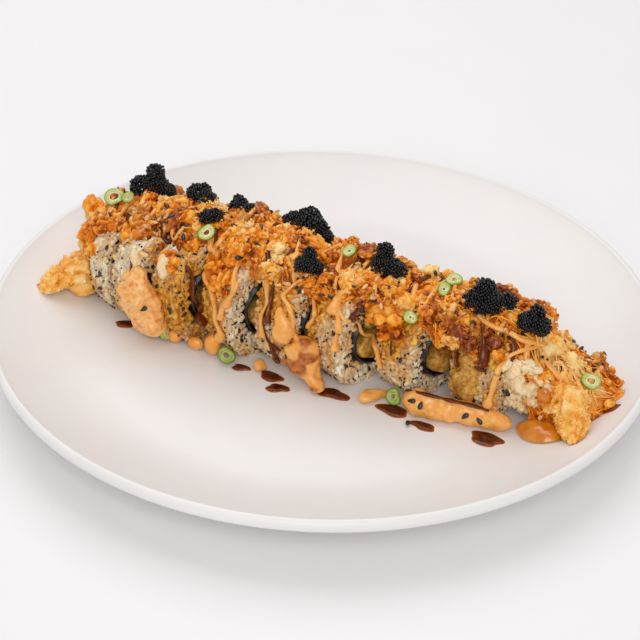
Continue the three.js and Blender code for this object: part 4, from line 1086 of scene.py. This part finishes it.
paths, radii = running_down(STRANDS, 44, 5)
hanging = tubes(paths, radii, 12, 0.75, fleck=np.full(len(STRANDS), 0.35))
zig = np.linspace(0, 1, 900)
x_zig = (-96 + 204 * zig)[None, :]
turn_zig = (1.35 + 1.0 * np.sin(2 * math.pi * 13 * zig + 1.2 * np.sin(9 * zig)))[None, :]
zig_path = over_heap(x_zig, turn_zig, 1.5)
zig_path = np.stack([smoothed(zig_path[..., axis], 4) for axis in range(3)], -1)
zig_radius = 0.9 + 0.5 * noise(zig_path, 6.0, 41)
zigzag = tubes(zig_path, np.clip(zig_radius, 0.3, 1.5), 8, 0.8, fleck=np.full(1, 0.35))
put("mayonnaise_drizzle", [hanging, off_plate(zigzag)], mayonnaise.material, "chilli_mayonnaise")

# %% Clumps over the front
HANGING = np.array([
    [-99, 43, 3.4], [-98.5, 38, 3.6], [-97, 33.5, 3.2], [-96, 42, 3.4], [-94.5, 37, 3], [-95.5, 29.5, 2.6], [-92, 40, 3], [-91, 34.5, 2.4], [-88, 42, 2.8],
    [-58, 41, 2.6], [-55, 43, 3.2], [-52, 42, 2.6], [-36, 42, 3.2], [-33.5, 39, 2.8], [-30, 42, 3], [-29, 37.5, 2.2],
    [28, 40, 3.2], [30.5, 36.5, 3.2], [32, 32.5, 2.6], [35, 38.5, 3], [37, 35, 2.4], [57, 40, 2.6], [60, 40, 3.2], [63, 37.5, 2.8], [72, 38.5, 3], [75, 36.5, 2.6],
])
rng = np.random.default_rng(760)
x, z, size = HANGING.T
places = np.stack([x, front_of(x, z) - 0.1 * size, z], -1)
sizes = size[:, None] * [1, 0.85, 1.05] * rng.uniform(0.85, 1.15, (len(size), 3))
turns = standing(unit(rng.normal(0, 1, places.shape)), rng)
values = salad_values(places, rng)
parts = []
for index, shape in enumerate(clump_shapes):
    own = slice(index, None, len(clump_shapes))
    parts.append(scatter(shape, places[own], turns[own], sizes[own], tone=values["tone"][own], glaze=values["glaze"][own]))
put("hanging_clumps", parts, topping.material, "topping")

# %% Pale crab at the last slice
PALE_CRAB = np.array([
    [77, 33, 3], [80.5, 30.5, 3.8], [85, 31, 3.6], [89, 27, 3.2], [77.5, 27, 3.2], [82, 25, 4], [87, 23.5, 3.6], [78.5, 21.5, 3.2], [83, 18.5, 3.6], [88, 18.5, 3.2], [79.5, 15.5, 2.8], [84, 13.5, 3], [92, 23, 2.6],
])
rng = np.random.default_rng(780)
x, z, size = PALE_CRAB.T
places = np.stack([x, np.minimum(front_of(x, z), -23) + 0.2 * size, z], -1)
turns = standing(unit(rng.normal(0, 1, places.shape)), rng)
parts = [scatter(shape, places[own::4], turns[own::4], size[own::4, None] * [1.15, 0.75, 0.95]) for own, shape in enumerate(clump_shapes[:4])]
put("pale_crab_flakes", parts, crab_flesh.material, "crab")

# %% Dark sauce over the row
paths, radii = running_down(GLAZE_RUNS, 30, 8)
runs = tubes(paths + [0, 0.35, 0], 0.85 * radii, 10, 0.4, thick=np.full(len(GLAZE_RUNS), 0.4))
turn_zag = (1.5 + 1.15 * np.sin(2 * math.pi * 9 * zig + 0.8))[None, :]
zag_path = over_heap(x_zig, turn_zag, 1.1)
zag_path = np.stack([smoothed(zag_path[..., axis], 4) for axis in range(3)], -1)
zag_radius = np.clip(0.9 + 0.9 * noise(zag_path, 7.0, 43), 0.25, 1.8)
zag = tubes(zag_path, zag_radius, 8, 0.6, thick=np.array([0.6]))
band_line = spline([[43, -31, 15], [50, -33, 16.6], [58, -33, 16.4], [66, -32, 15.6], [74, -31.2, 14.6]], 40)[None]
on_band = tubes(band_line, 1.1 + 0.5 * noise(band_line, 3.0, 44), 10, 0.5, thick=np.array([0.5]))
put("dark_sauce_drizzle", [runs, off_plate(zag), on_band], dark_sauce.material, "topping")

# %% [markdown]
# ## Sauces on the plate
# Where the mayonnaise was squeezed thickest it stands in soft lumps against the slices. The dark sauce
# has run out flat in small pools. A pool is a low dome over an outline that wobbles with the angle.

# %% Mayonnaise lumps and amber sauce
LUMPS = {
    "mayo_blob_left": (True, [[-66.4, -24, 38.5, 2.4, 2.2], [-66.2, -25.3, 34, 5.2, 3.6], [-65.8, -26.5, 26.5, 8.4, 4.8], [-64, -26.2, 18.5, 8.6, 5], [-62, -25.7, 12.5, 6.8, 4.2], [-61.4, -25.2, 9.4, 4.8, 3.4]]),
    "mayo_blob_middle": (True, [[1.5, -28.5, 26.5, 3.4, 2.6], [1.4, -29.5, 22, 7.2, 4.8], [2.4, -30, 15.5, 7.4, 4.8], [6.5, -31.6, 11.5, 4.4, 3.4], [9, -34.4, 9.6, 3.4, 2.4], [10, -36.5, 8.4, 2.4, 1.4]]),
    "mayo_band_right": (False, [[41.5, -29.5, 11.5, 2, 2], [46, -32, 11.8, 4.6, 4.6], [54, -33, 12, 4.6, 4.8], [63, -32, 11.6, 4.2, 4.4], [73, -31.4, 11.2, 4, 4.2], [83, -31, 10.4, 3, 3]]),
    "mayo_drop_1": (False, [[-17.5, -29.1, 8.6, 1, 1], [-14.8, -29.1, 9, 2.8, 1.8], [-12.3, -29.1, 8.6, 1, 1]]),
    "mayo_drop_2": (False, [[25.5, -33, 8.8, 1, 1], [28.2, -32.6, 9.2, 3, 2], [32, -29.5, 9, 2.2, 1.8], [36, -27, 8.6, 1, 1]]),
    "amber_sauce": (False, [[84, -27.5, 8.6, 1.6, 1], [87.5, -29, 9, 4.6, 3.2], [93, -31.2, 9.6, 6, 4.2], [98.5, -33.4, 9.6, 5, 3.6], [102.5, -36, 9.8, 2, 1.4]]),
}


def soft_lump(stations, hangs, rough, seed):
    """An oval run with rounded ends, moved in and out by noise at three sizes, standing on the plate."""
    skin, away = oval_run(stations, 80, 48, hangs)
    ends = np.sqrt(np.clip(1 - np.linspace(-1, 1, 80) ** 6, 0, 1))[:, None, None]
    middle_line = skin.mean(axis=1, keepdims=True)
    soft = rough * (noise(skin, 6.5, seed) + 0.7 * noise(skin, 3.2, seed + 1) + 0.25 * noise(skin, 1.5, seed + 2))
    skin = middle_line + (skin - middle_line) * ends + away * soft[..., None] * ends
    skin[..., 2] = np.maximum(skin[..., 2], plate_height(np.hypot(skin[..., 0], skin[..., 1])) + 0.3)
    return capped(skin)


for seed, (node, (hangs, stations)) in enumerate(LUMPS.items()):
    points, faces = soft_lump(stations, hangs, {"mayo_blob_left": 1.8, "mayo_blob_middle": 1.3, "amber_sauce": 0.4}.get(node, 1.0), 10 + 3 * seed)
    look, slot = (amber, "amber_sauce") if node == "amber_sauce" else (mayonnaise, "chilli_mayonnaise")
    drowned_by = np.clip(2.6 * noise(points, 3.4, 90) + 0.45, 0, 1) if node == "mayo_blob_middle" else 0.0
    put(node + "_soft", [(points, faces, {"fleck": 1.0 if node == "mayo_blob_left" else 0.4, "glaze": drowned_by})], look.material, slot, node)

TEARDROP = [[-6.8, -30, 38, 1.6, 1.4], [-5.6, -31.6, 34.5, 2.6, 1.9], [-4.8, -32.6, 30.5, 3.9, 2.3], [-4.2, -32.8, 27, 3.5, 2.2], [-4, -32.8, 24.5, 1.6, 1.4]]
teardrop, teardrop_faces = soft_lump(TEARDROP, True, 0.9, 40)
small_drops = scatter(ball(20, 12), np.array([[-52, -24.6, 10], [-42.6, -25.8, 10], [-35.2, -27, 12.2]]), np.tile(np.eye(3), (3, 1, 1)), np.array([[2.8, 1.9, 2.6], [3.2, 2.0, 2.6], [3.2, 2.4, 4.4]]))
orange_spot = scatter(ball(20, 12), np.array([[92.4, -27.6, 23.5]]), np.eye(3)[None], np.array([[2.6, 1.5, 3.2]]))
put("amber_spot", [orange_spot], amber.material, "amber_sauce")
put("mayonnaise_drops", [(teardrop, teardrop_faces, {"fleck": 0.3}), small_drops], mayonnaise.material, "chilli_mayonnaise")

# %% Pools of dark sauce
POOLS = np.array([
    [-74.6, -20.0, 4.4, 2.6, 0.2], [-9.4, -31.5, 4.6, 3.2, 0.0], [-4.6, -37.5, 4.6, 2.6, 0.15], [15.4, -33.2, 6.6, 3.2, 0.05], [39.1, -34.6, 6.6, 3.2, -0.3],
    [52.1, -39.4, 4.8, 2.5, -0.1], [75.5, -38.2, 6.4, 4.0, -0.3], [114.5, -17.2, 3.4, 2.4, 0.5], [-22, -30.5, 4.0, 2.0, 0.1],
])


def pool(x, y, length, width, slant, seed):
    """A low dome: rings of a wobbly oval, the height falling with the fourth power towards the edge."""
    ring, angle = np.linspace(0.12, 1, 14)[:, None], np.linspace(0, 2 * math.pi, 60, endpoint=False)[None, :]
    wobble = 1 + 0.1 * np.sin(2 * angle + 3 * seed) + 0.1 * np.sin(3 * angle + seed) + 0.05 * np.sin(5 * angle + 2 * seed)
    along, across = ring * wobble * length * np.cos(angle), ring * wobble * width * np.sin(angle)
    c, s = math.cos(slant), math.sin(slant)
    px, py = x + along * c - across * s, y + along * s + across * c
    base = plate_height(np.hypot(px, py)) + 0.05
    top = np.stack([px, py, base + 0.9 * (1 - ring**4)], -1)
    under = np.stack([px, py, base], -1)[::-1]
    thick = np.broadcast_to(0.75 * (1 - ring**3), px.shape)
    points, faces = capped(np.concatenate([top, under]))
    return points, faces, {"thick": np.concatenate([thick.ravel(), thick[::-1].ravel(), [0.75, 0.75]])}


pools = [pool(*spec, seed) for seed, spec in enumerate(POOLS)]
put("dark_sauce_pools", pools, dark_sauce.material, "topping")

# %% [markdown]
# ## Roe, sesame, specks and scallion
# Flying-fish roe is a heap of beads of about a millimetre. They could be instances of a particle system,
# but the export needs real meshes, so the beads are one array: points spread evenly on each lump, less
# those that another lump covers.

# %% Roe
ROE_HEAPS = [
    [[-81, 12, 51, 5.2], [-74.5, 12, 51.6, 5.6], [-76, 13, 56.8, 3.8], [-70, 10.5, 51.2, 3.6]],
    [[-57.4, 11.5, 53, 4.6], [-53, 10.5, 52, 4.2], [-55.4, 12.5, 53.6, 3.2]],
    [[-47, -4.2, 53, 3.8], [-43.3, -3.7, 53.9, 3.6]],
    [[-39, 9.5, 52.4, 4.2], [-34, 8, 52.4, 3.2], [-40, 10.5, 53.4, 2.8]],
    [[-15.3, 7.5, 51.5, 5.4], [-7.8, 7, 51.5, 5.8], [-10.8, 9, 53, 4.6], [-2.3, 5, 49.2, 3.2]],
    [[-1.7, -18.3, 51.2, 4.2], [2, -17.8, 50.2, 3.2], [-0.7, -17.3, 54.5, 2.8]],
    [[24.5, -6.2, 50.3, 4.8], [29, -7.2, 49.6, 4.6], [24, -4.7, 54.4, 3.4]],
    [[62.6, -12.4, 47.1, 6], [67.6, -12.4, 48.1, 5.2], [72.6, -10.9, 48.2, 3.2], [64.1, -11.4, 52.1, 4]],
    [[81.5, -14, 44.2, 4.4], [85.5, -14, 43.6, 4.2], [83.5, -13, 47.3, 3.2]],
]
EGG = ball(6, 4)


def beads_on(lump_rows, rng):
    """Spiral points on each lump in two layers, moved in and out by noise, without those inside another
    lump and without one in eight; then a few strays on the heap beside them."""
    table = np.array(lump_rows)
    kept = []
    for index, (x, y, z, radius) in enumerate(table):
        for layer in (radius - 1.5, radius - 0.5):
            count = int(4 * math.pi * layer**2 / 1.0)
            k = np.arange(count) + 0.5
            rise, spin = 1 - 2 * k / count, k * 2.39996
            flat = np.sqrt(1 - rise**2)
            way = np.stack([flat * np.cos(spin), flat * np.sin(spin), 0.92 * rise], -1)
            swell = 1 + 0.26 * noise(way * layer, 2.4, index) + rng.normal(0, 0.06, count)
            spots = np.array([x, y, z]) + way * layer * swell[:, None]
            others = np.delete(table, index, 0)
            inside = (np.linalg.norm(spots[:, None] - others[None, :, :3], axis=-1) < others[None, :, 3] - 1.6).any(axis=1)
            kept.append(spots[~inside & (rng.uniform(size=count) > 0.12)])
    x = rng.choice(table[:, 0], 22) + rng.normal(0, 4.5, 22)
    y = rng.choice(table[:, 1], 22) + rng.normal(0, 3.5, 22)
    half, middle = np.interp(x, TOPPING[:, 0], TOPPING[:, 2]), np.interp(x, ROW_MIDDLE[:, 0], ROW_MIDDLE[:, 1])
    turn = np.arccos(np.clip((middle - y) / half, -1, 1))
    kept.append(heap(x, turn) + heap_normal(x, turn) * rng.uniform(0.2, 1.8, (22, 1)))
    return np.concatenate(kept)


for number, lump_rows in enumerate(ROE_HEAPS, 1):
    rng = np.random.default_rng(800 + number)
    spots = beads_on(lump_rows, rng)
    sizes = np.repeat(rng.uniform(0.5, 0.64, (len(spots), 1)), 3, axis=1)
    eggs = scatter(EGG, spots, standing(unit(rng.normal(size=spots.shape)), rng), sizes)
    put(f"roe_beads_{number}", [eggs], roe.material, "roe", f"roe_{number}")

# %% Sesame and specks
seed_points, seed_faces = ball(8, 6)
seed_points = seed_points[:, [2, 0, 1]]
seed_points[:, 1:] *= (1 - 0.38 * seed_points[:, :1])
SEED_SHAPE = outward(seed_points, seed_faces)
SEED_SIZE = np.array([1.5, 0.85, 0.45])


def seeds_on_heap(count, rng, **ranges):
    """Sesame seeds lying over the heap's clumps, a little tipped."""
    places, normals = on_clumps(count, rng, **ranges)
    turns = standing(unit(normals + rng.normal(0, 0.4, normals.shape)), rng)
    return off_plate(scatter(SEED_SHAPE, places + normals * 0.4, turns, SEED_SIZE * rng.uniform(0.85, 1.1, (len(places), 1))))


def specks_on_slice(cut, rng, count, sizes, shape):
    """Places on a slice's outside and its right-hand cut face, with sizes drawn between two values."""
    angle = rng.uniform(0, 2 * math.pi, count)
    side = rng.uniform(size=count) < 0.5
    reach = np.where(side, cut["radius"] + 0.1, cut["radius"] - rng.uniform(0.8, RICE_THICKNESS - 0.8, count))
    spots = outline(angle) * reach[:, None]
    spots[:, 0] = np.where(side, rng.uniform(-0.5, 0.5, count) * cut["thickness"], cut["thickness"] / 2 + 0.15)
    keep = spots[:, 2] > -SEAT * cut["radius"] + 1.5
    normals = np.where(side[:, None], outline_normal(angle), [[1.0, 0, 0]])[keep]
    turns = slice_turn(cut)[None] @ standing(unit(normals + rng.normal(0, 0.2, normals.shape)), rng)
    drawn = rng.uniform(*sizes, (keep.sum(), 1)) * (SEED_SIZE if shape is SEED_SHAPE else np.ones(3))
    return scatter(shape, placed(cut, spots[keep]), turns, drawn)


rng = np.random.default_rng(900)
dark_parts = [seeds_on_heap(130, rng), seeds_on_heap(60, rng, x_range=(-92, -40), high_turn=1.8)]
dark_parts += [specks_on_slice(cut, rng, 200, (0.24, 0.5), EGG) for cut in SLICES]
dark_parts += [specks_on_slice(cut, rng, 24, (0.7, 0.95), SEED_SHAPE) for cut in SLICES]
put("black_sesame_and_specks", dark_parts, speck.material, "roe")
put("toasted_sesame", [seeds_on_heap(240, rng), seeds_on_heap(110, rng, x_range=(-88, -40), high_turn=1.6)], pale_seed.material, "batter")

# %% Seeds on the sauces
SAUCE_SEEDS = np.array([
    [-61.5, -30.8, 24, 0.2, -1, 0.2], [46.5, -36.2, 14.6, 0, -0.8, 0.6], [50.2, -37.2, 14.2, 0, -0.8, 0.6], [66.5, -35.8, 13.0, 0, -0.9, 0.5],
    [71.6, -34.8, 11.6, 0, -1, 0.3], [78, -26.4, 30, 0.1, -1, 0.1], [83, -26.4, 27, 0.3, -0.9, 0.3], [79, -26.4, 20.5, 0.2, -1, 0.1], [87, -26, 24, 0.3, -0.9, 0.2], [47, -41, 8.1, 0, 0, 1],
])
rng = np.random.default_rng(950)
sauce_seeds = scatter(SEED_SHAPE, SAUCE_SEEDS[:, :3], standing(unit(SAUCE_SEEDS[:, 3:]), rng), np.tile(SEED_SIZE * 1.05, (len(SAUCE_SEEDS), 1)))
put("sesame_on_sauce", [sauce_seeds], speck.material, "roe")

# %% Scallion rings
RINGS = [
    [-88.4, 1.6, 49.8, 3.6, -70, 40], [-82, 0.8, 51.2, 2.4, -40, 30], [-43, -13, 51.8, 3.1, -75, 45], [50.2, -2.2, 47, 3, -60, 70], [48.8, -10.4, 47.5, 2.5, -70, 50],
    [40.8, -24.7, 42.2, 2.5, -65, 35], [10.5, -5, 51.6, 2.6, -80, 60], [106.5, -16.5, 26.4, 3.3, -60, 40], [-28.2, -30, 10.9, 3.3, -85, 50], [38, -30.5, 10.2, 3, -80, 45],
]


def scallion_ring(x, y, z, radius, azimuth, elevation, seed, wall=0.95, high=0.9, pale=0.0):
    """A rounded section carried round a slightly oval ring, its tone paler towards the inside."""
    angle, around = np.linspace(0, 2 * math.pi, 44, endpoint=False)[:, None], np.linspace(0, 2 * math.pi, 14, endpoint=False)[None, :]
    oval = (radius - wall) * (1 + 0.15 * np.cos(2 * angle + seed) + 0.06 * np.cos(3 * angle + 2 * seed))
    out = oval + wall * squash(np.cos(around), 0.6)
    level = high * squash(np.sin(around), 0.6) + 0.25 * np.sin(2 * angle + seed)
    ring = np.stack([out * np.cos(angle), out * np.sin(angle), level], -1)
    lift, swing = math.radians(elevation), math.radians(azimuth)
    axis = np.array([[math.cos(lift) * math.cos(swing), math.cos(lift) * math.sin(swing), math.sin(lift)]])
    turn = standing(axis, np.random.default_rng(seed))[0]
    tone = np.clip(np.broadcast_to(0.5 - 0.5 * np.cos(around), ring.shape[:2]) * 0.85 + 0.1 + pale, 0, 1)
    points, faces = outward(ring.reshape(-1, 3) @ turn.T, [grid_faces(44, 14, wrap_rows=True)])
    return points + [x, y, z], faces, {"tone": tone.ravel()}


for number, spec in enumerate(RINGS, 1):
    inner = [*spec[:3], spec[3] - 1.5, *spec[4:]]
    shade = -0.3 if number > 8 else 0.0
    cuts = [scallion_ring(*spec, number, 0.8, 0.8, shade), scallion_ring(*inner, number, 0.3, 0.5, 0.5 + 2 * shade)]
    if number == 9:
        cuts.append(scallion_ring(-55.4, -25.6, 11.6, 2.6, 8, 12, 20, 0.6, 1.1, 0.2))
    put(f"scallion_cut_{number}", cuts, leek.material, "scallion", f"scallion_{number}")
